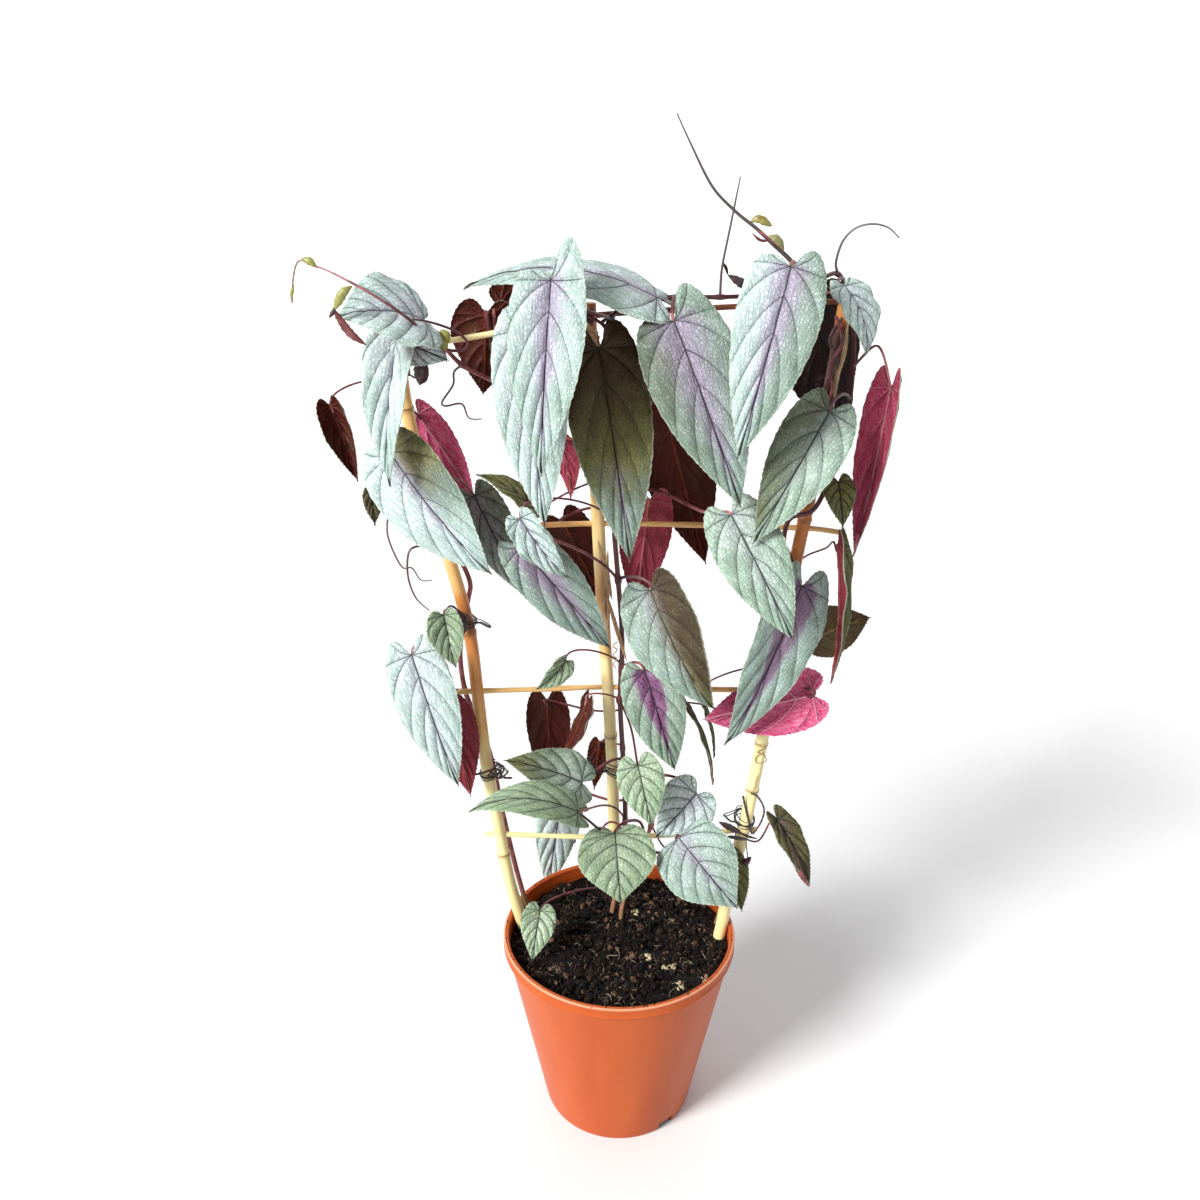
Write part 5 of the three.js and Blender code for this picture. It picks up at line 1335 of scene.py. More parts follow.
@dataclass(frozen=True)
class Peat(Finish):
    """Moist peat potting mix: crumbly and nearly black, with brown strands in it."""

    crumb: float = 1.6

    def fill(self, put: Put) -> dict[str, object]:
        """Adds crumbs by their size in mm, and the mark "strand" shifts the colour of each loose one."""
        place = put("TexCoord", out="Object")
        strand = put("Attribute", attribute_name="strand", out="Fac")
        pick = put("TexWhiteNoise", W=strand, out="Value", noise_dimensions="1D")
        coarse = put("TexNoise", place, Scale=1 / (self.crumb * MM), Detail=6.0, Roughness=0.7)
        cell = put("TexVoronoi", place, Scale=1 / (self.crumb * MM), out="Distance")
        rare = put("Math", pick, 4.0, operation="POWER")
        blend = put("Math", rare, 0.42, coarse, operation="MULTIPLY_ADD")
        base = put("ValToRGB", blend, stops=((0.42, "#010100"), (1.0, "#b08a6b"), (0.6, "#150c08"),
                                             (0.78, "#483026")))
        height = put("Math", coarse, cell, operation="SUBTRACT")
        bump = put("Bump", Strength=1.0, Distance=0.002, Height=height)
        return {"Base Color": base, "Roughness": 0.7, "Normal": bump, "Specular IOR Level": 0.2}


@dataclass(frozen=True)
class Strand(Finish):
    """Dry sedge and moss strands in the peat: matt, from brown to straw."""

    dark: str = "#2a1d17"
    light: str = "#c7b69c"

    def fill(self, put: Put) -> dict[str, object]:
        """Adds one shade for each strand and a little change along it."""
        strand = put("Attribute", attribute_name="strand", out="Fac")
        pick = put("TexWhiteNoise", W=strand, out="Value", noise_dimensions="1D")
        noise = put("TexNoise", put("TexCoord", out="Object"), Scale=600.0, Detail=3.0)
        blend = put("Math", noise, 0.25, put("Math", pick, 2.6, operation="POWER"), operation="MULTIPLY_ADD")
        base = put("ValToRGB", blend, stops=((0.1, self.dark), (1.1, self.light)))
        return {"Base Color": base, "Roughness": 0.75}


@dataclass(frozen=True)
class Chip(Finish):
    """Bits of pale bark and dry root in the mix: fibrous, cream to buff."""

    def fill(self, put: Put) -> dict[str, object]:
        """Adds fibres and pits."""
        noise = put("TexNoise", put("TexCoord", out="Object"), Scale=900.0, Detail=5.0, Roughness=0.7)
        base = put("ValToRGB", noise, stops=((0.3, "#6e5a3e"), (0.7, "#ddd0a6")))
        bump = put("Bump", Strength=0.6, Distance=0.0004, Height=noise)
        return {"Base Color": base, "Roughness": 0.8, "Normal": bump}


@dataclass(frozen=True)
class CoatedWire(Finish):
    """Garden wire in black plastic: soft, slightly glossy and scuffed grey."""

    def fill(self, put: Put) -> dict[str, object]:
        """Adds scuffs."""
        noise = put("TexNoise", put("TexCoord", out="Object"), Scale=500.0, Detail=4.0)
        base = put("ValToRGB", noise, stops=((0.35, "#0d0c0e"), (0.75, "#3c3a3d")))
        bump = put("Bump", Strength=0.3, Distance=0.0002, Height=noise)
        return {"Base Color": base, "Roughness": 0.38, "Normal": bump}


@dataclass(frozen=True)
class DrySheath(Finish):
    """Dry leaf sheath and stipule: papery, translucent-looking buff with brown streaks."""

    def fill(self, put: Put) -> dict[str, object]:
        """Adds streaks along the sheath."""
        streak = self.streaks(put, turns=9.0, along=0.1, detail=5.0)
        base = put("ValToRGB", streak, stops=((0.3, "#5d3a22"), (0.7, "#d8b98a")))
        bump = put("Bump", Strength=0.5, Distance=0.0003, Height=streak)
        return {"Base Color": base, "Roughness": 0.6, "Normal": bump}


@dataclass(frozen=True)
class PaleFloor(Finish):
    """Matt white painted board, for the stage."""

    def fill(self, put: Put) -> dict[str, object]:
        """Adds a barely seen roller texture."""
        noise = put("TexNoise", put("TexCoord", out="Object"), Scale=3.0, Detail=2.0)
        base = put("ValToRGB", noise, stops=((0.3, "#e1e1e2"), (0.7, "#e4e4e4")))
        return {"Base Color": base, "Roughness": 0.9, "Specular IOR Level": 0.1}


def resampled(path: Array, step: float) -> tuple[Array, Array]:
    """Points an even distance apart along a path.

    Args:
        path: (n, 3) in mm.
        step: about how far apart they are.

    Returns:
        The points, and how far along the path each one is.
    """
    run = travelled(path)
    count = max(int(round(run[-1] / step)), 4)
    place = np.linspace(0, run[-1], count + 1)
    return np.stack([np.interp(place, run, path[:, axis]) for axis in range(3)], -1), place


class Finishes(Enum):
    """Numbers of a vine's materials."""

    UPPER = 0
    UNDER = 1
    SKIN = 2
    SHEATH = 3


# Where the veins of a half blade end on its outline, from the sinus round the lobe to the tip
VEIN_ENDS = (0.0, 0.12, 0.27, 0.42, 0.56, 0.68, 0.76, 0.835, 0.9, 0.955, 1.0)
FINE_STEPS = (0.0, 0.06, 0.16, 0.33, 0.5, 0.67, 0.84, 0.94)
COARSE_STEPS = (0.0, 0.16, 0.5, 0.84)


@dataclass(frozen=True)
class BladeForm:
    """Sizes of what shapes a blade, in mm.

    Attributes:
        thickness: of the blade.
        inset: how far the margin lies inside its teeth, and tooth how far these stand out of it.
        quilt: rise of the skin between two veins, as a share of their distance, up to quilt_most.
        ridge: rise of a vein on the underside, midrib that of the midrib, and sunk its depth on the upper.
        fan: share of the outline whose veins come from the petiole; the rest branch off the midrib.
        fine_gap: veins further apart than this have the finer steps between them.
        row: distance between two rows of the mesh.
        bristle: length of the hair at a tooth, and hair its radius.
        branching: how fast the veins' roots move on up the midrib.
        vein_wide: how wide a ridge is, and rib_wide the midrib.
        uneven: rise of the unevenness that no vein causes, and uneven_size its size.
        cup: how far the margin droops, and waves how many waves it has, shifted by wave_step for each leaf.
        petiole: radius of a stalk on a leaf of the usual width, and shares how far it follows the width.
        arch: rise of a stalk as a share of its span, and drop how far it comes down to the blade.
        under: how far along the blade a stalk ends.
    """

    thickness: float = 0.55
    inset: float = 0.8
    tooth: float = 0.5
    quilt: float = 0.13
    quilt_most: float = 1.3
    ridge: float = 0.3
    midrib: float = 0.7
    sunk: float = 0.3
    fan: float = 0.59
    branching: float = 1.25
    fine_gap: float = 5.0
    row: float = 5.0
    bristle: float = 0.8
    hair: float = 0.13
    vein_wide: float = 0.5
    rib_wide: float = 0.8
    uneven: float = 0.35
    uneven_size: float = 8.0
    cup: float = 2.0
    waves: float = 2.5
    wave_step: float = 0.37
    petiole: float = 1.0
    shares: tuple[float, float] = (0.7, 1.1)
    arch: float = 0.25
    drop: float = 10.0
    under: float = 4.0


class Blade:
    """A blade: two halves folded up from the midrib, arched along it, waved, and quilted between veins."""

    def __init__(self, leaf: Leaf, index: int, form: BladeForm = BladeForm()) -> None:
        """Places the blade.

        Args:
            leaf: the leaf.
            index: its number, which shifts its wave and its pattern.
            form: the sizes of its details.
        """
        self.leaf = leaf
        self.index = index
        self.form = form
        self.base = seen(leaf.base)
        reach = seen(leaf.tip) - self.base
        self.length = float(np.linalg.norm(reach))
        self.ahead = reach / self.length
        facing = unit(-AHEAD + AHEAD @ self.ahead * self.ahead)
        across = np.cross(facing, self.ahead)
        roll = math.radians(leaf.roll)
        self.normal = facing * math.cos(roll) + across * math.sin(roll)
        self.side = np.cross(self.normal, self.ahead)

    def lift(self, flat: Array) -> Array:
        """Points of the blade's middle surface: base + x ahead + y cos(fold) side + rise normal.

        The rise is bow 4t(1-t) + |y| sin(fold) + w^2 (wave sin(2 pi (waves t + shift)) - cup), with
        t = x / length and w = |y| / half the width.

        Args:
            flat: (n, 2) along the midrib and out from it, in mm.

        Returns:
            The points in mm, (n, 3).
        """
        x, y = flat[:, 0], flat[:, 1]
        along = x / self.length
        out = np.abs(y) / (self.leaf.wide / 2)
        fold = math.radians(self.leaf.fold)
        phase = self.form.waves * along + self.form.wave_step * self.index + 0.25 * np.sign(y)
        rise = self.leaf.bow * 4 * along * (1 - along) + np.abs(y) * math.sin(fold)
        rise += out**2 * (self.leaf.wave * np.sin(2 * math.pi * phase) - self.form.cup)
        spread = (y * math.cos(fold))[:, None] * self.side
        return self.base + x[:, None] * self.ahead + spread + rise[:, None] * self.normal

    def normals(self, flat: Array) -> Array:
        """Normals of the middle surface: the cross product of its slopes, by small steps to both sides."""
        step = 0.05
        slope = unit(self.lift(flat + (step, 0)) - self.lift(flat - (step, 0)))
        away = np.where(flat[:, 1] < 0, -step, step)
        out = self.lift(flat + np.stack([0 * away, away], -1)) - self.lift(flat)
        found = unit(np.cross(slope, out * np.sign(away)[:, None]))
        middle = unit(self.normal - (slope @ self.normal)[:, None] * slope)
        return np.where(np.abs(flat[:, 1:]) < 1e-6, middle, found)

    def outline(self, side: int) -> Array:
        """Knots of a half outline in mm, its lobe reaching back by its share. Side 0 is on the right."""
        knots = np.array(OUTLINES[self.leaf.shape])
        knots[:, 0] *= np.where(knots[:, 0] < 0, self.leaf.lobes[side], 1.0)
        return knots * (self.length, self.leaf.wide / 2)

    def margin(self, side: int, ends: Array, teeth: Array) -> Array:
        """A half outline at given places, inset and toothed.

        Args:
            side: which half.
            ends: places on the outline, from 0 to 1.
            teeth: 1 where a tooth stands out.

        Returns:
            (n, 2) in mm.
        """
        knots = self.outline(side)
        edge = spline(knots, ends, bent_ends=False)
        step = 0.002
        around = spline(knots, ends + step, bent_ends=False) - spline(knots, ends - step, bent_ends=False)
        outward = unit(np.stack([-around[:, 1], around[:, 0]], -1))
        room = np.gradient(travelled(np.column_stack([edge, 0 * ends])))
        shift = teeth * np.minimum(self.form.tooth, 0.45 * room) - self.form.inset
        shift *= ease(0, 0.05, ends) * ease(0, 0.04, 1 - ends)
        return edge + outward * shift[:, None]

    def half(self, side: int) -> dict[str, Array]:
        """The grid of one half: its columns follow the veins, which arch forward from the midrib.

        Args:
            side: which half, as in outline.

        Returns:
            The column places "count", the shares "out" of the way to the margin, and for each point "flat",
            "gap" between its two veins, and "run" along the vein.
        """
        veins = len(VEIN_ENDS) - 1
        knots = np.array(OUTLINES[self.leaf.shape]) * (self.length, self.leaf.wide / 2)
        around = np.linspace(0, 1, 201)
        rim = spline(knots, around, bent_ends=False)
        reach = np.interp(VEIN_ENDS, around, travelled(np.column_stack([rim, 0 * rim[:, 0]])))
        count = np.concatenate([vein + np.array(FINE_STEPS if wide > self.form.fine_gap else COARSE_STEPS)
                                for vein, wide in enumerate(np.diff(reach))] + [[float(veins)]])
        ends = np.interp(count, np.arange(veins + 1), VEIN_ENDS)
        teeth = np.zeros(len(count))
        teeth[2:-2:2] = 1
        edge = self.margin(side, ends, teeth)
        rows = int(np.clip(round(self.leaf.wide / self.form.row), 6, 12))
        out = np.linspace(0, 1, rows + 1)
        start = np.clip((ends - self.form.fan) / (1 - self.form.fan), 0, 1)
        start = start**self.form.branching * self.length
        root = np.stack([start, 0 * start], -1)
        bend = np.stack([start + 0.25 * (edge[:, 0] - start), 0.66 * edge[:, 1]], -1)
        q = out[:, None, None]
        flat = (1 - q) ** 2 * root + 2 * q * (1 - q) * bend + q**2 * edge
        steps = np.linalg.norm(np.diff(flat, axis=0), axis=-1)
        run = np.vstack([0 * count, np.cumsum(steps, axis=0)])
        on_vein = flat[:, np.isclose(count, np.round(count))]
        apart = np.linalg.norm(np.diff(on_vein, axis=1), axis=-1)
        before = apart[:, np.clip(np.ceil(count).astype(int) - 1, 0, veins - 1)]
        after = apart[:, np.clip(np.floor(count).astype(int), 0, veins - 1)]
        return {"count": count, "out": out, "flat": flat, "gap": (before + after) / 2, "run": run}

    def patches(self) -> list[tuple[Patch, Array]]:
        """The blade's two faces with the rim between them, and the bristles on its teeth.

        Returns:
            The patches, each with the material number of each of its faces.
        """
        grids = [self.half(side) for side in (0, 1)]
        rows, columns = grids[0]["gap"].shape
        number = np.tile(grids[0]["count"], rows)
        out = np.repeat(grids[0]["out"], columns)
        both = np.vstack([grid["flat"].reshape(-1, 2) * (1, sign) for grid, sign in zip(grids, (1, -1))])
        row, column = (index.ravel() for index in np.mgrid[0 : rows - 1, 0 : columns - 1])
        a = row * columns + column
        b, c, d = a + 1, a + columns + 1, a + columns
        cells = np.vstack([np.stack([a, b, c], -1), np.stack([a, c, d], -1)])
        corners = np.vstack([cells, cells + rows * columns])
        numbers = np.concatenate([number, number + SIDE_COUNT]) + 2 * SIDE_COUNT * self.index
        place = np.column_stack([numbers, np.tile(out, 2)])
        _, first, point = np.unique(np.round(both * 1000), axis=0, return_index=True, return_inverse=True)
        faces = point.ravel()[corners]
        flat = both[first]
        one, two, three = (flat[faces[:, corner]] for corner in range(3))
        area = np.cross(two - one, three - one)
        turned = area < 0
        faces[turned] = faces[turned][:, ::-1]
        corners[turned] = corners[turned][:, ::-1]
        kept = np.abs(area) > 1e-5
        faces, uv = faces[kept], place[corners[kept]]

        gap = np.concatenate([grid["gap"].ravel() for grid in grids])[first]
        run = np.concatenate([grid["run"].ravel() for grid in grids])[first]
        share = np.tile(out, 2)[first]
        off = np.tile(np.abs(number - np.round(number)), 2)[first]
        rib = np.abs(flat[:, 1])
        middle = self.lift(flat)
        normal = self.normals(flat)
        form = self.form
        rise = np.minimum(form.quilt * gap, form.quilt_most) * 4 * off * (1 - off)
        rise *= ease(0, 0.16, share) * (1 - ease(0.84, 1, share))
        on_rib = np.exp(-((rib / form.rib_wide) ** 2))
        rise -= form.sunk * on_rib
        rise += form.uneven * rough(middle, form.uneven_size, SEED + self.index)
        on_vein = np.exp(-((off * gap / form.vein_wide) ** 2))
        under = rise - form.thickness - form.ridge * on_vein * (1 - share)
        under -= form.midrib * on_rib * (1 - flat[:, 0] / self.length * 0.7)
        tops = middle + normal * (rise + form.thickness / 2)[:, None]
        lows = middle + normal * (under + form.thickness / 2)[:, None]

        size = len(flat)
        edges = np.vstack([faces[:, [0, 1]], faces[:, [1, 2]], faces[:, [2, 0]]])
        places = np.vstack([uv[:, [0, 1]], uv[:, [1, 2]], uv[:, [2, 0]]])
        code = np.sort(edges, axis=1) @ (size, 1)
        _, inverse, uses = np.unique(code, return_inverse=True, return_counts=True)
        free = uses[inverse.ravel()] == 1
        start, end = edges[free].T
        begin, finish = places[free, 0], places[free, 1]
        below, beside = start + size, end + size
        rim = np.vstack([np.stack([end, start, below], -1), np.stack([end, below, beside], -1)])
        rim_uv = np.vstack([np.stack([finish, begin, begin], 1), np.stack([finish, begin, finish], 1)])
        shell = Patch(np.vstack([tops, lows]), np.vstack([faces, rim, faces[:, ::-1] + size]),
                      np.vstack([uv, rim_uv, uv[:, ::-1]]))
        shell.mark(reach=np.tile(np.stack([gap, rib, run], -1), (2, 1)), broad=self.leaf.tone.value.broad,
                   tone=np.tile(self.tones(flat), (2, 1)))
        finish = np.repeat([Finishes.UPPER.value, Finishes.UNDER.value], [len(faces) + len(rim), len(faces)])
        return [(shell, finish), self.bristles(grids)]

    def tones(self, flat: Array) -> Array:
        """Shade, lilac, purple and crimson at points of the blade.

        The shade eases from base to tip, and across the midrib.

        Args:
            flat: (n, 2) along the midrib and out from it, in mm.

        Returns:
            (n, 4).
        """
        tint = self.leaf.tone.value
        along = flat[:, 0] / self.length
        right = ease(-0.3, 0.3, flat[:, 1] / (self.leaf.wide / 2))
        shade = tint.shade + tint.to_tip * ease(0.05, 0.95, along) + tint.to_side * (right - 0.5)
        lilac = tint.lilac + tint.tip_lilac * ease(0.45, 0.7, along)
        rest = np.ones_like(along)
        return np.stack([np.clip(shade, 0, 1.6), lilac, tint.purple * rest, tint.crimson * rest], -1)

    def bristles(self, grids: Sequence[dict[str, Array]]) -> tuple[Patch, int]:
        """A short tapered hair on each tooth, pointing away from the margin and a little forward."""
        tips, aims = [], []
        for grid, sign in zip(grids, (1, -1)):
            edge = grid["flat"][-1]
            around = unit(edge[3:-1:2] - edge[1:-3:2])
            tips.append(edge[2:-2:2] * (1, sign))
            aims.append((np.stack([-around[:, 1], around[:, 0]], -1) + (0.35, 0)) * (1, sign))
        both = np.vstack(tips)
        aim = unit(np.vstack(aims))
        paths = np.stack([self.lift(both - aim * 0.5), self.lift(both + aim * self.form.bristle)], 1)
        hairs = threads(paths, np.full(len(both), self.form.hair), np.array([1.0, 0.25]))
        return hairs.mark(skin=0.25), Finishes.SKIN.value

    def petiole(self, root: Array) -> Patch:
        """The leaf's stalk: it rises from the stem and bends down to the blade's base.

        Args:
            root: where it leaves the stem, in mm.

        Returns:
            The stalk, thicker at both ends, which ends under the blade.
        """
        form, normal, ahead = self.form, self.normal, self.ahead
        radius = form.petiole * float(np.clip(self.leaf.wide / USUAL_WIDTH, *form.shares))
        depth = normal * (radius + form.thickness)
        end = self.lift(np.array([[form.under, 0.0]]))[0] - depth
        if self.leaf.via:
            near = self.base - depth - normal * 2 - ahead * 2
            knots = np.array([root, *(seen(place) for place in self.leaf.via), near, end])
            path = spline(knots, np.linspace(0, 1, 60))
        else:
            far = float(np.linalg.norm(self.base - root))
            rising = root + 0.25 * (self.base - root) + UP * form.arch * far
            falling = self.base + UP * 0.1 * far - normal * min(0.3 * far, form.drop) - ahead * 0.125 * far
            bent = bezier(root, rising, falling, self.base - depth, np.linspace(0, 1, 40))
            path = np.vstack([bent, end])
        path, run = resampled(path, 2.2)
        swell = 1 + 0.35 * np.exp(-((run / 3.0) ** 2)) + 0.1 * ease(8, 4, run[-1] - run)
        stalk = sweep(path, radius * swell, sides=8, ribs=0.05)
        lean = 0.12 * math.sin(self.index * 2.3)
        age = 0.16 + lean + 0.26 * ease(0, 1, stalk.marks["along"] / run[-1])
        return stalk.mark(skin=age)


@dataclass(frozen=True)
class Climber:
    """One stem of the vine with its leaves, shoots and tendrils.

    Attributes:
        vine: which stem.
        radius: of the stem in mm, and taper its shares at the root and at the tip.
        swell: what a leaf or a shoot adds to it, and swell_wide how far along.
        young: height over the soil in mm at which its skin has its own colour, and earthy that in the soil.
    """

    vine: Vine
    radius: float = 1.7
    taper: tuple[float, float] = (1.15, 0.75)
    swell: float = 0.5
    swell_wide: float = 2.6
    young: float = 60.0
    earthy: float = 0.72

    @property
    def knots(self) -> Array:
        """The points of the stem's line, from its end in the soil."""
        stem = STEMS[self.vine]
        return np.array([np.array(stem.buried), *(seen(place) for place in stem.seen)])

    @property
    def leaves(self) -> list[tuple[int, Leaf]]:
        """Its leaves, each with its number."""
        return [(index, leaf) for index, leaf in enumerate(LEAVES) if leaf.vine is self.vine]

    def at(self, grows: float) -> Array:
        """The point of the stem at a place counted in its points."""
        knots = self.knots
        return spline(knots, np.array([grows / (len(knots) - 1)]))[0]

    def stem(self) -> Patch:
        """The stem: a furrowed rod that thins upwards, swollen where a leaf or a shoot leaves it."""
        knots, places = self.knots, np.linspace(0, 1, 800)
        fine = spline(knots, places)
        far = travelled(fine)
        path, run = resampled(fine, 2.0)
        low, high = self.taper
        radii = self.radius * (low + (high - low) * np.interp(run, far, places))
        growing = [leaf for _, leaf in self.leaves] + list(SHOOTS.get(self.vine, ()))
        for one in growing:
            along = np.interp(one.grows / (len(knots) - 1), places, far)
            radii += self.swell * np.exp(-(((run - along) / self.swell_wide) ** 2))
        body = sweep(path, radii, sides=10, ribs=0.05)
        tall = ease(SOIL_LEVEL, SOIL_LEVEL + self.young, body.points[:, 2])
        return body.mark(skin=self.earthy + (STEMS[self.vine].skin - self.earthy) * tall)

    def shoot(self, shoot: Shoot) -> Patch:
        """A shoot or a tendril: a thin rod through its points that tapers to its tip."""
        knots = np.array([self.at(shoot.grows), *(seen(place) for place in shoot.seen)])
        path, run = resampled(spline(knots, np.linspace(0, 1, 200)), 1.6)
        path, run = path[:-1], run[:-1]
        radii = shoot.tip + (shoot.radius - shoot.tip) * (1 - run / run[-1]) ** 1.6
        radii *= 1 - 0.35 * ease(0.7, 1, run / run[-1])
        body = sweep(path, radii * (1 + 0.3 * np.exp(-((run / 2.0) ** 2))), sides=8, ribs=0.04)
        low, high = shoot.skin
        share = np.clip(body.marks["along"] / run[-1], 0, 1)
        return body.mark(skin=low + (high - low) * share, dry=shoot.dry)

    def trim(self, trim: Trim) -> Patch:
        """A small piece along its points: half width w sin(pi s)^0.7 on the way, or w all along."""
        knots = np.array([seen(place) for place in trim.seen])
        path, run = resampled(spline(knots, np.linspace(0, 1, 60)), 0.8)
        share = run / run[-1]
        profile = np.where(trim.even, 1.0, np.maximum(np.sin(math.pi * share), 0.06) ** 0.7)
        radii = trim.wide * profile * (1 + 0.08 * np.sin(run * 1.7))
        return spindle(path, radii, trim.flat).mark(skin=trim.skin, dry=trim.dry)

    def build(self, materials: Sequence[bpy.types.Material]) -> None:
        """Builds the piece that stands for the vine's node.

        Args:
            materials: for the upper skin, the underside, the stems and the dry sheaths.
        """
        piece = Piece(self.vine.value + "_fine", "foliage")
        piece.add(self.stem(), Finishes.SKIN.value)
        for index, leaf in self.leaves:
            blade = Blade(leaf, index)
            for patch, finish in blade.patches():
                piece.add(patch, finish)
            piece.add(blade.petiole(self.at(leaf.grows)), Finishes.SKIN.value)
        for shoot in SHOOTS.get(self.vine, ()):
            piece.add(self.shoot(shoot), Finishes.SKIN.value)
        for trim in TRIMS[self.vine]:
            piece.add(self.trim(trim), Finishes.SHEATH.value if trim.sheath else Finishes.SKIN.value)
        piece.write(materials, stands_for=[self.vine.value])
        LOG.info("its leaves: %s", ", ".join(leaf.name for _, leaf in self.leaves))


def lathed(profile: Array, sides: int) -> Patch:
    """A body of revolution: (r cos a, r sin a, z) for a profile (r, z) that starts and ends on the axis.

    Args:
        profile: (n, 2), whose inside lies to its left on the way.
        sides: corners of a ring.

    Returns:
        The closed patch, with v along the profile in mm.
    """
    turn = np.arange(sides) / sides * 2 * math.pi
    middle = profile[1:-1]
    points = np.stack([middle[:, :1] * np.cos(turn), middle[:, :1] * np.sin(turn),
                       np.repeat(middle[:, 1:], sides, axis=1)], -1)
    run = travelled(np.column_stack([profile, 0 * profile[:, 0]]))[1:-1]
    poles = [np.array([0, 0, profile[0, 1]]), np.array([0, 0, profile[-1, 1]])]
    return lattice(points, np.linspace(0, 1, sides + 1), run, wrap=True, poles=poles)


@dataclass(frozen=True)
class Pot:
    """The nursery pot: a tapered wall, a band round its rim, and notches and drain holes under it.

    Attributes:
        form: its sizes.
        sides: corners of a ring, and drain_sides those of a drain hole.
        crease: edges sharper than this many degrees stay sharp.
    """

    form: PotForm = PotForm()
    sides: int = 240
    drain_sides: int = 32
    crease: float = 40.0

    def profile(self) -> Array:
        """Half section (r, z): up the outside, over the rim with its double ring, and down the inside."""
        form = self.form
        band = form.height - form.band
        wall = [(form.outside(height), height) for height in np.linspace(form.foot_height, band, 12)]
        inner = [(form.inside(height), height) for height in np.linspace(SOIL_LEVEL, form.floor + 1.5, 10)]
        under = [(form.rim + out, band + up) for out, up in
                 ((-0.9, 0.0), (-0.2, 0.3), (0.0, 1.0), (-0.2, 1.8), (-0.6, 2.6), (-0.6, 5.6))]
        middle = np.array([form.rim, form.height]) - form.rim_round
        turn = np.radians(np.linspace(0, 90, 5))
        over = middle + form.rim_round * np.stack([np.cos(turn), np.sin(turn)], -1)
        groove = [(form.rim - inward, form.height - down) for inward, down in
                  ((1.5, 0.0), (1.75, 0.25), (2.05, 0.3), (2.3, 0.15), (2.6, 0.0))]
        lip = [(form.rim - inward, form.height - down) for inward, down in
               ((3.1, 0.05), (3.65, 0.4), (3.95, 0.9), (4.0, 1.6))]
        return np.array([(0, 0), (30, 0), (form.base - 3, 0), (form.base, 0), (form.base + 0.8, 0.5),
                         (form.base + 1.3, 1.6), *wall, *under, *over, *groove, *lip, *inner,
                         (form.inside(form.floor) - 1.5, form.floor), (30, form.floor), (0, form.floor)])

    def cutters(self) -> list[bpy.types.Object]:
        """Boxes for the notches in the foot and rods for the drain holes."""
        form, made = self.form, []
        cube = np.array([(a, b, c) for a in (-1, 1) for b in (-1, 1) for c in (-1, 1)])
        quads = [(0, 1, 3, 2), (4, 6, 7, 5), (0, 4, 5, 1), (2, 3, 7, 6), (0, 2, 6, 4), (1, 5, 7, 3)]
        box = cube * (form.notch_depth, form.notch_width / 2, form.notch_height) + (form.foot - 1.0, 0, 0)
        for number in range(form.notches):
            turn = number / form.notches * 2 * math.pi + math.radians(form.notch_turn)
            x, y = math.cos(turn), math.sin(turn)
            made.append(self.cutter("notch", box @ np.array([[x, y, 0], [-y, x, 0], [0, 0, 1]]), quads))
        through = 2 * form.floor
        radius = form.drain_radius
        profile = np.array([(0, -through), (radius, -through), (radius, through), (0, through)])
        rod = lathed(profile, self.drain_sides)
        for number in range(form.drains):
            turn = number / form.drains * 2 * math.pi
            place = np.array([math.cos(turn), math.sin(turn), 0]) * form.drain_ring
            made.append(self.cutter("drain", rod.points + place, rod.faces.tolist()))
        return made

    def cutter(self, name: str, points: Array, faces: Sequence[Sequence[int]]) -> bpy.types.Object:
        """An object with these points, in mm, and faces."""
        mesh = bpy.data.meshes.new(name)
        mesh.from_pydata((points * MM).tolist(), [], faces)
        made = bpy.data.objects.new(name, mesh)
        bpy.context.scene.collection.objects.link(made)
        return made

    def build(self, material: bpy.types.Material) -> None:
        """Builds the pot and cuts its notches and holes."""
        piece = Piece("pot_fine", "pot")
        piece.add(lathed(self.profile(), self.sides))
        made = piece.write([material], crease=self.crease, stands_for=["pot"])
        cutters = self.cutters()
        for cutter in cutters:
            cut = made.modifiers.new("cut", "BOOLEAN")
            cut.operation = "DIFFERENCE"
            cut.solver = "EXACT"
            cut.object = cutter
        carved = bpy.data.meshes.new_from_object(made.evaluated_get(bpy.context.evaluated_depsgraph_get()))
        made.modifiers.clear()
        made.data = carved
        carved.name = "pot_fine"
        for cutter in cutters:
            bpy.data.objects.remove(cutter)


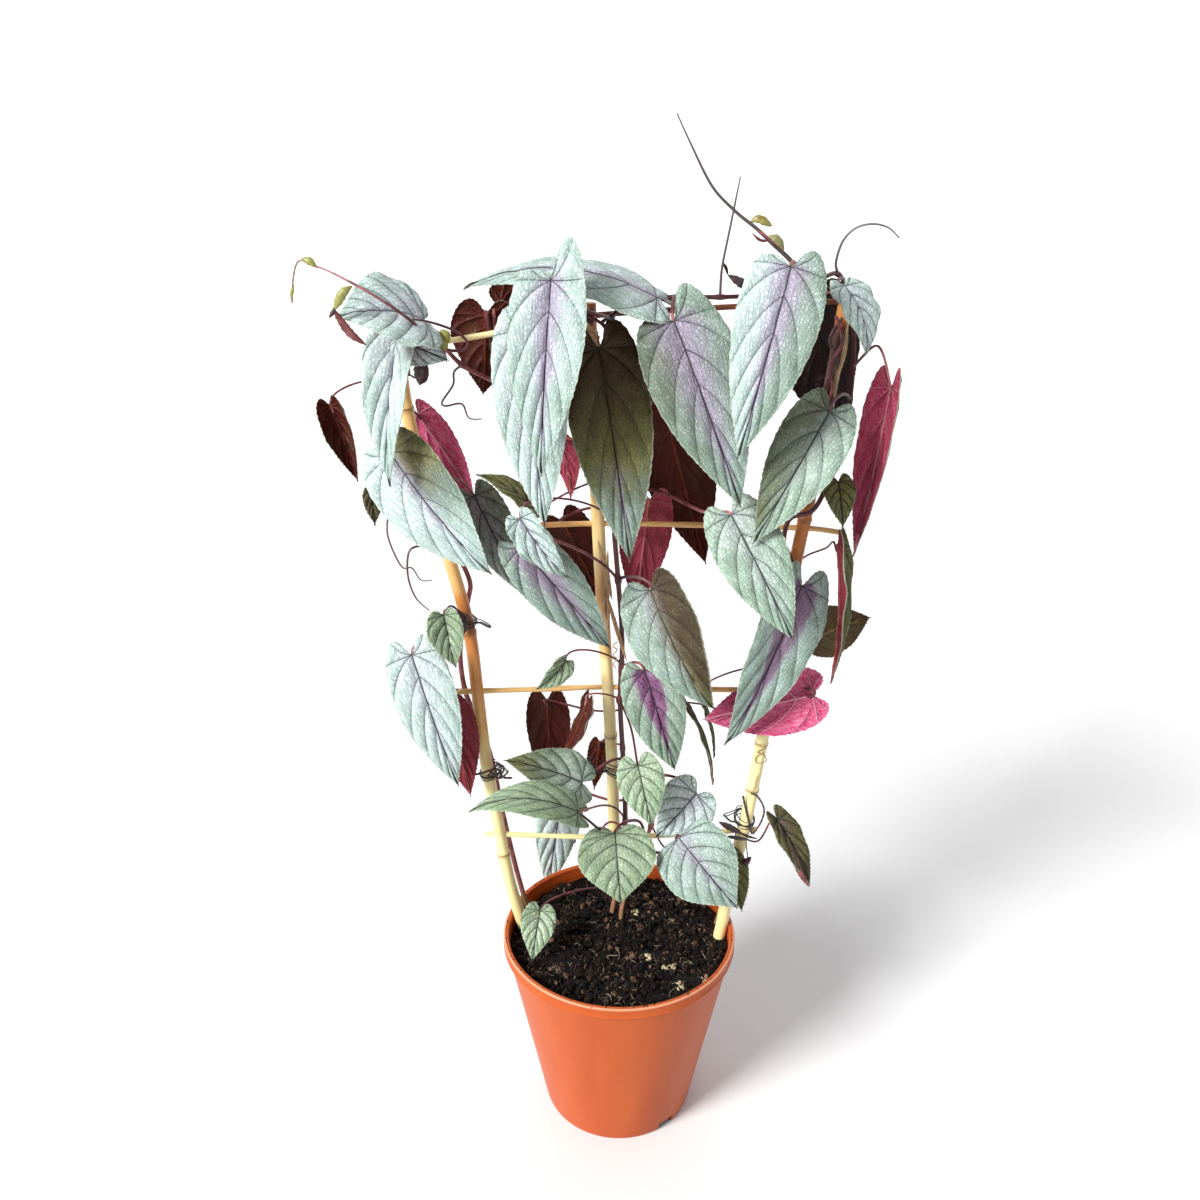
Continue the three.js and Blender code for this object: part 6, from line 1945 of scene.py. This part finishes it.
@dataclass(frozen=True)
class Soil:
    """The potting mix: a body that fills the pot, with crumbs, strands and bark on its top.

    Attributes:
        form: sizes of the pot that it fills.
        mound: rise of its middle in mm, clod height of its clods, and gap the room between it and the pot.
        rings: rings of its top, and sides corners of a ring.
        crumbs: how many loose crumbs lie on it, from smallest in mm to largest over that.
        strands: for each kind of strand, how many there are, their length in mm and their radius.
        chip_spots: where pale chips lie in the picture, each made of so many bits as chip_bits says.
        chip: size of such a bit in mm, and small_chip that of the small chips.
        small_chips: how many small chips there are.
        spilt: how many crumbs lie in the groove of the pot's rim.
    """

    form: PotForm = PotForm()
    mound: float = 3.0
    clod: float = 1.1
    gap: float = 0.3
    rings: int = 60
    sides: int = 168
    crumbs: int = 4600
    smallest: float = 0.4
    largest: float = 2.6
    strands: tuple[tuple[int, float, float], ...] = ((480, 10, 0.14), (36, 18, 0.26))
    chip_spots: tuple[tuple[int, int], ...] = ((648, 960), (666, 970), (672, 966), (682, 987), (702, 979),
                                               (636, 913))
    chip_bits: int = 7
    chip: float = 2.1
    small_chip: float = 0.6
    small_chips: int = 40
    spilt: int = 70

    def height(self, x: Array, y: Array) -> Array:
        """Height of the top: mound (1 - r^2 / R^2) + clod clods, as in the solid, over the soil's level."""
        rim = self.form.inside(SOIL_LEVEL)
        clods = np.sin(x / 7 + 1.3) * np.cos(y / 9) + 0.6 * np.sin(x / 3.7 + y / 4.9)
        return SOIL_LEVEL + self.mound * (1 - (x**2 + y**2) / rim**2) + self.clod * clods

    def body(self) -> Patch:
        """The body: straight against the wall, with a rough top."""
        room = self.gap * 1.2
        floor = self.form.floor + self.gap
        edge = self.form.inside(SOIL_LEVEL) - room
        low = self.form.inside(floor + 2) - room
        top = [(share * edge, SOIL_LEVEL) for share in np.linspace(1, 0, self.rings)[:-1] ** 0.8]
        patch = lathed(np.array([(0, floor), (30, floor), (low - 2, floor), (low, floor + 2),
                                 (edge, SOIL_LEVEL - 2), *top, (0, SOIL_LEVEL)]), self.sides)
        points = patch.points
        x, y = points[:, 0], points[:, 1]
        loose = 1.1 * rough(points, 2.2, SEED)
        loose += 2.0 * rough(points, 5.0, SEED + 1) + 1.4 * rough(points, 14, SEED + 2)
        inner = 1 - ease(edge - 4, edge, np.hypot(x, y)) * 0.6
        high = self.height(x, y) + loose * inner
        points[:, 2] = np.where(points[:, 2] > SOIL_LEVEL - 1, high, points[:, 2])
        return patch

    def scattered(self, count: int, draw: np.random.Generator, reach: float = 0.97) -> Array:
        """Places on the top: radius R sqrt(random), any turn."""
        radius = self.form.inside(SOIL_LEVEL) * reach * np.sqrt(draw.uniform(0, 1, count))
        turn = draw.uniform(0, 2 * math.pi, count)
        x, y = radius * np.cos(turn), radius * np.sin(turn)
        return np.stack([x, y, self.height(x, y)], -1)

    def loose(self, draw: np.random.Generator) -> Patch:
        """Crumbs of many sizes, mostly about 1 mm."""
        size = self.smallest + self.largest * draw.uniform(0, 1, (self.crumbs, 1)) ** 3
        shape = size * draw.uniform(0.45, 1.3, (self.crumbs, 3))
        places = self.scattered(self.crumbs, draw, 0.965)
        places[:, 2] += size[:, 0] * 0.35
        return crumbs(places, shape, draw)

    def chips(self, draw: np.random.Generator) -> Patch:
        """Bark chips, each a few crumbs close together, where the picture shows them, and small ones too."""
        spots = np.array([seen_at(u, v, SOIL_LEVEL + 3) for u, v in self.chip_spots])
        near = np.repeat(spots, self.chip_bits, axis=0)
        near = near + draw.normal(0, 1.5, near.shape) * (1, 1, 0)
        places = np.vstack([near, self.scattered(self.small_chips, draw, 0.92)])
        places[:, 2] = self.height(places[:, 0], places[:, 1]) + 1.2
        size = np.repeat([self.chip, self.small_chip], [len(near), self.small_chips])[:, None]
        return crumbs(places, size * draw.uniform(0.4, 1.1, (len(places), 3)) * (1.3, 0.8, 0.5), draw)

    def spilled(self, draw: np.random.Generator) -> Patch:
        """Crumbs in the groove of the pot's rim."""
        turn = draw.uniform(0, 2 * math.pi, self.spilt)
        reach = self.form.rim - 2.2 + draw.normal(0, 0.45, self.spilt)
        places = np.stack([reach * np.cos(turn), reach * np.sin(turn), 0 * turn + self.form.height], -1)
        return crumbs(places, draw.uniform(0.2, 0.75, (self.spilt, 1)) * np.ones(3), draw)

    def strewn(self, draw: np.random.Generator, count: int, long: float, thick: float) -> Patch:
        """Strands that lie on the top: a start, a turn, a bend, and a little rise in the middle.

        Args:
            draw: where the random numbers come from.
            count: how many there are.
            long: the longest, in mm.
            thick: their radius, before it varies.

        Returns:
            The strands.
        """
        start = self.scattered(count, draw, 0.93)
        turn = draw.uniform(0, 2 * math.pi, count)
        bend = draw.normal(0, 1.2, count)
        length = long * draw.uniform(0.3, 1.0, count)
        t = np.linspace(0, 1, 6)
        angle = turn[:, None] + bend[:, None] * t
        x = start[:, :1] + np.cumsum(np.cos(angle), 1) * length[:, None] / 6
        y = start[:, 1:2] + np.cumsum(np.sin(angle), 1) * length[:, None] / 6
        inward = np.minimum(1, (self.form.inside(SOIL_LEVEL) - 2) / np.hypot(x, y))
        x, y = x * inward, y * inward
        low, rise = draw.uniform(0.3, 1.0, count), draw.uniform(0, 2.0, count)
        lift = low[:, None] + rise[:, None] * np.sin(math.pi * t)
        paths = np.stack([x, y, self.height(x, y) + lift], -1)
        shares = np.array([0.6, 1, 1, 1, 0.9, 0.4])
        return threads(paths, thick * draw.uniform(0.6, 1.3, count), shares, sides=4)

    def build(self, peat: bpy.types.Material, strand: bpy.types.Material, chip: bpy.types.Material) -> None:
        """Builds the filling that stands for the soil's node."""
        draw = np.random.default_rng(SEED)
        piece = Piece("soil_fine", "soil")
        piece.add(self.body(), 0)
        piece.add(self.loose(draw), 0)
        for kind in self.strands:
            piece.add(self.strewn(draw, *kind), 1)
        piece.add(self.chips(draw), 2)
        piece.add(self.spilled(draw), 0)
        piece.write([peat, strand, chip], crease=180, stands_for=["soil"])


@dataclass(frozen=True)
class CaneRod:
    """One bamboo cane: a rod with a ridge and a groove at each node.

    Attributes:
        name: of its node.
        radius: in mm.
        bumps: what a node adds, each as (share of the radius, middle along the cane, half width), in mm.
        dark: half width of the brown band at a node.
        sides: corners of a ring.
        end: rings past its upper end, as in sweep.
    """

    name: str
    radius: float = CANE_RADIUS
    bumps: tuple[tuple[float, float, float], ...] = ((0.17, 0.9, 1.3), (0.08, -1.2, 0.8), (-0.07, -0.3, 0.35))
    dark: float = 1.5
    sides: int = 24
    end: tuple[tuple[float, float], ...] = ((0.0, 0.96), (0.04, 0.88), (0.04, 0.5), (-0.25, 0.42))

    @property
    def knots(self) -> Array:
        """The points of its line: its buried end, its foot and then up the cane."""
        cane = CANES[self.name]
        return np.array([np.array(cane.buried), np.array(cane.foot), *(seen(place) for place in cane.seen)])

    def build(self, material: bpy.types.Material) -> None:
        """Builds the cane that stands for its node."""
        cane = CANES[self.name]
        shares = np.linspace(0, 1, 600)
        fine = spline(self.knots, shares)
        whole = travelled(fine)
        places = np.interp(np.array(cane.nodes) / (len(self.knots) - 1), shares, whole)
        near = [place + np.array([-6, -3, -1.6, -0.9, -0.45, 0, 0.45, 0.9, 1.6, 3, 6]) for place in places]
        run = np.unique(np.round(np.concatenate([np.arange(0, whole[-1], 5.0), whole[-1:], *near]), 3))
        path = np.stack([np.interp(run, whole, fine[:, axis]) for axis in range(3)], -1)
        radii = np.full(len(run), self.radius)
        mark = np.zeros(len(run))
        for place in places:
            for share, middle, wide in self.bumps:
                radii += self.radius * share * np.exp(-(((run - place - middle) / wide) ** 2))
            mark = np.maximum(mark, np.exp(-(((run - place) / self.dark) ** 2)))
        rod = sweep(path, radii, sides=self.sides, end=self.end)
        node = np.interp(rod.marks["along"], run, mark)
        rod.mark(node=node, tan=np.interp(rod.points[:, 2], *zip(*cane.tans_and_shade)))
        piece = Piece(self.name + "_fine", "bamboo")
        piece.add(rod)
        piece.write([material], crease=60, stands_for=[self.name])


@dataclass(frozen=True)
class BarRod:
    """One split bar of the fan, threaded through the canes.

    Attributes:
        name: of its node.
        radius: in mm.
        sides: corners of a ring.
        end: rings past its end, as in sweep.
    """

    name: str
    radius: float = 1.9
    sides: int = 12
    end: tuple[tuple[float, float], ...] = ((0.0, 0.9), (0.08, 0.5))

    def build(self, material: bpy.types.Material) -> None:
        """Builds the bar that stands for its node. Its rind changes colour from 0.3 to 0.5 of its length."""
        knots = np.array([seen(place) for place in BARS[self.name]])
        path, run = resampled(spline(knots, np.linspace(0, 1, 300)), 4.0)
        wobble = 1 + 0.05 * np.sin(run / 9.0) + 0.03 * np.sin(run / 3.1 + 2)
        rod = sweep(path, self.radius * wobble, sides=self.sides, end=self.end)
        middle = run[-1] * np.array([0.3, 0.5])
        rod.mark(node=0.0, tan=np.interp(rod.marks["along"], middle, BAR_TANS_AND_SHADE[self.name]))
        piece = Piece(self.name + "_fine", "bamboo")
        piece.add(rod)
        piece.write([material], crease=60, stands_for=[self.name])


@dataclass(frozen=True)
class WireTie:
    """One wire tie: a loop round a cane and a stem, with a free end.

    Attributes:
        name: of its node.
        radius: of the wire in mm, and thin that of the second strand as a share of it.
        room: how far the middle of the wire lies off the cane, and slack how much further beside it.
        crest: rise of the free end over the loop.
        step: distance between its rings, and fine that of the second strand.
        loop: the second strand's loop, as (share of the way to its end, mm beside it).
    """

    name: str
    radius: float = 0.7
    thin: float = 0.55
    room: float = 1.6
    slack: float = 1.05
    crest: float = 1.6
    step: float = 1.0
    fine: float = 0.9
    loop: tuple[tuple[float, float], ...] = ((0.4, 1.0), (0.75, 2.2), (1.0, 1.2), (0.98, -0.8), (0.6, -1.0),
                                             (0.1, -1.6))

    @property
    def tie(self) -> Tie:
        """Its places."""
        return TIES[self.name]

    def crossing(self, knots: Array, height: float) -> Array:
        """The point of a line at a height."""
        fine = spline(knots, np.linspace(0, 1, 2000))
        return fine[np.argmin(np.abs(fine[:, 2] - height))]

    def twist(self, middle: Array, long: Array, wide: Array, target: Array) -> Patch:
        """The second strand: turns round the bundle that rise and fall unevenly, and a narrow loop.

        Args:
            middle: centre of the bundle.
            long: half its longer width, and wide half the other, as vectors.
            target: where the loop reaches.

        Returns:
            The strand.
        """
        turns = self.tie.turns
        angle = 2 * math.pi * turns * np.linspace(0, 1, 40 * turns)
        loose = 0.92 + 0.1 * np.sin(angle * 0.37 + turns)
        lift = 3.2 * np.sin(angle * 0.31 + 1.1) + 1.2 * np.sin(angle * 1.3)
        coil = middle + (np.cos(angle) * loose)[:, None] * long + (np.sin(angle) * loose)[:, None] * wide
        coil = coil + lift[:, None] * UP
        away = unit(target - coil[-1])
        turned = np.cross(away, AHEAD)
        reach = float(np.linalg.norm(target - coil[-1]))
        loop = [coil[-1] + away * reach * share + turned * out
                for share, out in self.loop]
        tail = spline(np.array([coil[-1], *loop]), np.linspace(0, 1, 60))[1:]
        path, _ = resampled(np.vstack([coil, tail]), self.fine)
        return sweep(path, np.full(len(path), self.thin * self.radius), sides=6)

    def build(self, material: bpy.types.Material, cane: Array, stem: Array) -> None:
        """Builds the tie that stands for its node.

        Args:
            material: the wire's finish.
            cane: the cane's line.
            stem: the stem's line.
        """
        height = seen(self.tie.at)[2]
        one, two = self.crossing(cane, height), self.crossing(stem, height)
        middle = (one + two) / 2
        middle[2] = height
        reach = (two - one) * (1, 1, 0)
        half = float(np.linalg.norm(reach)) / 2 + CANE_RADIUS + self.room
        side = CANE_RADIUS + self.room + self.slack
        long = unit(reach)
        wide = np.cross(UP, long)
        turn = np.linspace(0, 2 * math.pi, 64, endpoint=False)
        oval = middle + np.cos(turn)[:, None] * long * half + np.sin(turn)[:, None] * wide * side
        target = seen(self.tie.end)
        nearest = int(np.argmin(np.linalg.norm(oval - target, axis=1)))
        begin = np.roll(oval, -nearest, axis=0)
        crest = (begin[0] + target) / 2
        crest[2] = height + self.crest
        tail = spline(np.array([begin[0], crest, target]), np.linspace(0, 1, 14))[1:]
        path, _ = resampled(np.vstack([begin, begin[:1] + UP * 0.4, tail]), self.step)
        piece = Piece(self.name + "_fine", "wire")
        piece.add(sweep(path, np.full(len(path), self.radius), sides=8))
        piece.add(self.twist(middle, long * half, wide * side, target))
        piece.write([material], stands_for=[self.name])


@dataclass(frozen=True)
class Studio:
    """Plain pale floor that curves up behind, a soft light, and the camera at the picture's angle.

    Attributes:
        reach: how far the floor reaches to each side, to the front and up, in mm.
        behind: how far behind the pot it starts to curve up, and bend the radius of that curve.
        turn: degrees round from +X to where the light stands, and height degrees over the floor.
        spread: degrees that the light covers, which soften the shadows.
        strength: of the light in watts a square metre.
        sky: strength of the light from all sides.
        lens: focal length of the camera in mm, for a sensor that is so wide.
    """

    reach: float = 9000.0
    behind: float = 2600.0
    bend: float = 1500.0
    turn: float = -141.0
    height: float = 32.0
    spread: float = 20.0
    strength: float = 5.0
    sky: float = 0.45
    lens: float = 30.0
    sensor: float = 36.0

    def floor(self, material: bpy.types.Material) -> None:
        """The floor: flat, then a quarter turn up into a wall, (x, profile y, profile z)."""
        turn = np.radians(np.linspace(0, 90, 24))
        curve = np.stack([self.behind + self.bend * np.sin(turn), self.bend - self.bend * np.cos(turn)], -1)
        profile = np.vstack([[[-self.reach, 0]], curve, [[self.behind + self.bend, self.reach]]])
        across = np.array([-self.reach, self.reach])
        points = np.stack([np.repeat(across[None], len(profile), 0), np.repeat(profile[:, :1], 2, 1),
                           np.repeat(profile[:, 1:], 2, 1)], -1)
        run = travelled(np.column_stack([profile, 0 * profile[:, 0]]))
        patch = lattice(points, across * MM, run * MM)
        mesh = bpy.data.meshes.new("floor")
        mesh.from_pydata((patch.points * MM).tolist(), [], patch.faces.tolist())
        mesh.materials.append(material)
        mesh.shade_smooth()
        made = bpy.data.objects.new("floor", mesh)
        bpy.context.scene.collection.objects.link(made)

    def light(self) -> None:
        """A broad soft light far away."""
        lamp = bpy.data.lights.new("key", "SUN")
        lamp.angle = math.radians(self.spread)
        lamp.energy = self.strength
        made = bpy.data.objects.new("key", lamp)
        turn, height = math.radians(self.turn), math.radians(self.height)
        flat = math.cos(height)
        to_light = Vector((math.cos(turn) * flat, math.sin(turn) * flat, math.sin(height)))
        made.rotation_euler = to_light.to_track_quat("Z", "Y").to_euler()
        bpy.context.scene.collection.objects.link(made)

    def build(self, material: bpy.types.Material) -> None:
        """Sets the floor, the light, the world and the camera."""
        self.floor(material)
        self.light()
        world = bpy.data.worlds.new("studio")
        world.use_nodes = True
        ground = world.node_tree.nodes["Background"]
        ground.inputs[0].default_value = linear("#ffffff")
        ground.inputs[1].default_value = self.sky
        scene = bpy.context.scene
        scene.world = world
        scene.view_settings.view_transform = "Standard"
        camera = bpy.data.cameras.new("camera")
        camera.lens = self.lens
        camera.sensor_width = self.sensor
        made = bpy.data.objects.new("camera", camera)
        made.location = tuple(EYE * MM)
        made.rotation_euler = (math.pi / 2 - PITCH, 0, 0)
        scene.collection.objects.link(made)
        scene.camera = made


def main() -> None:
    """Builds the pot, the soil, the fan, the ties and the vine, then the stage."""
    logging.basicConfig(level=logging.INFO, format="%(message)s")
    Pot().build(PotPlastic().make())
    Soil().build(Peat().make(), Strand().make(), Chip().make())
    bamboo = Bamboo().make()
    for name in CANES:
        CaneRod(name).build(bamboo)
    for name in BARS:
        BarRod(name).build(bamboo)
    wire = CoatedWire().make()
    for name, tie in TIES.items():
        WireTie(name).build(wire, CaneRod(tie.cane).knots, Climber(tie.vine).knots)
    skins = [UpperSkin().make(), UnderSkin().make(), StemSkin().make(), DrySheath().make()]
    for vine in Vine:
        Climber(vine).build(skins)
    Studio().build(PaleFloor().make())


if __name__ == "__main__":
    main()
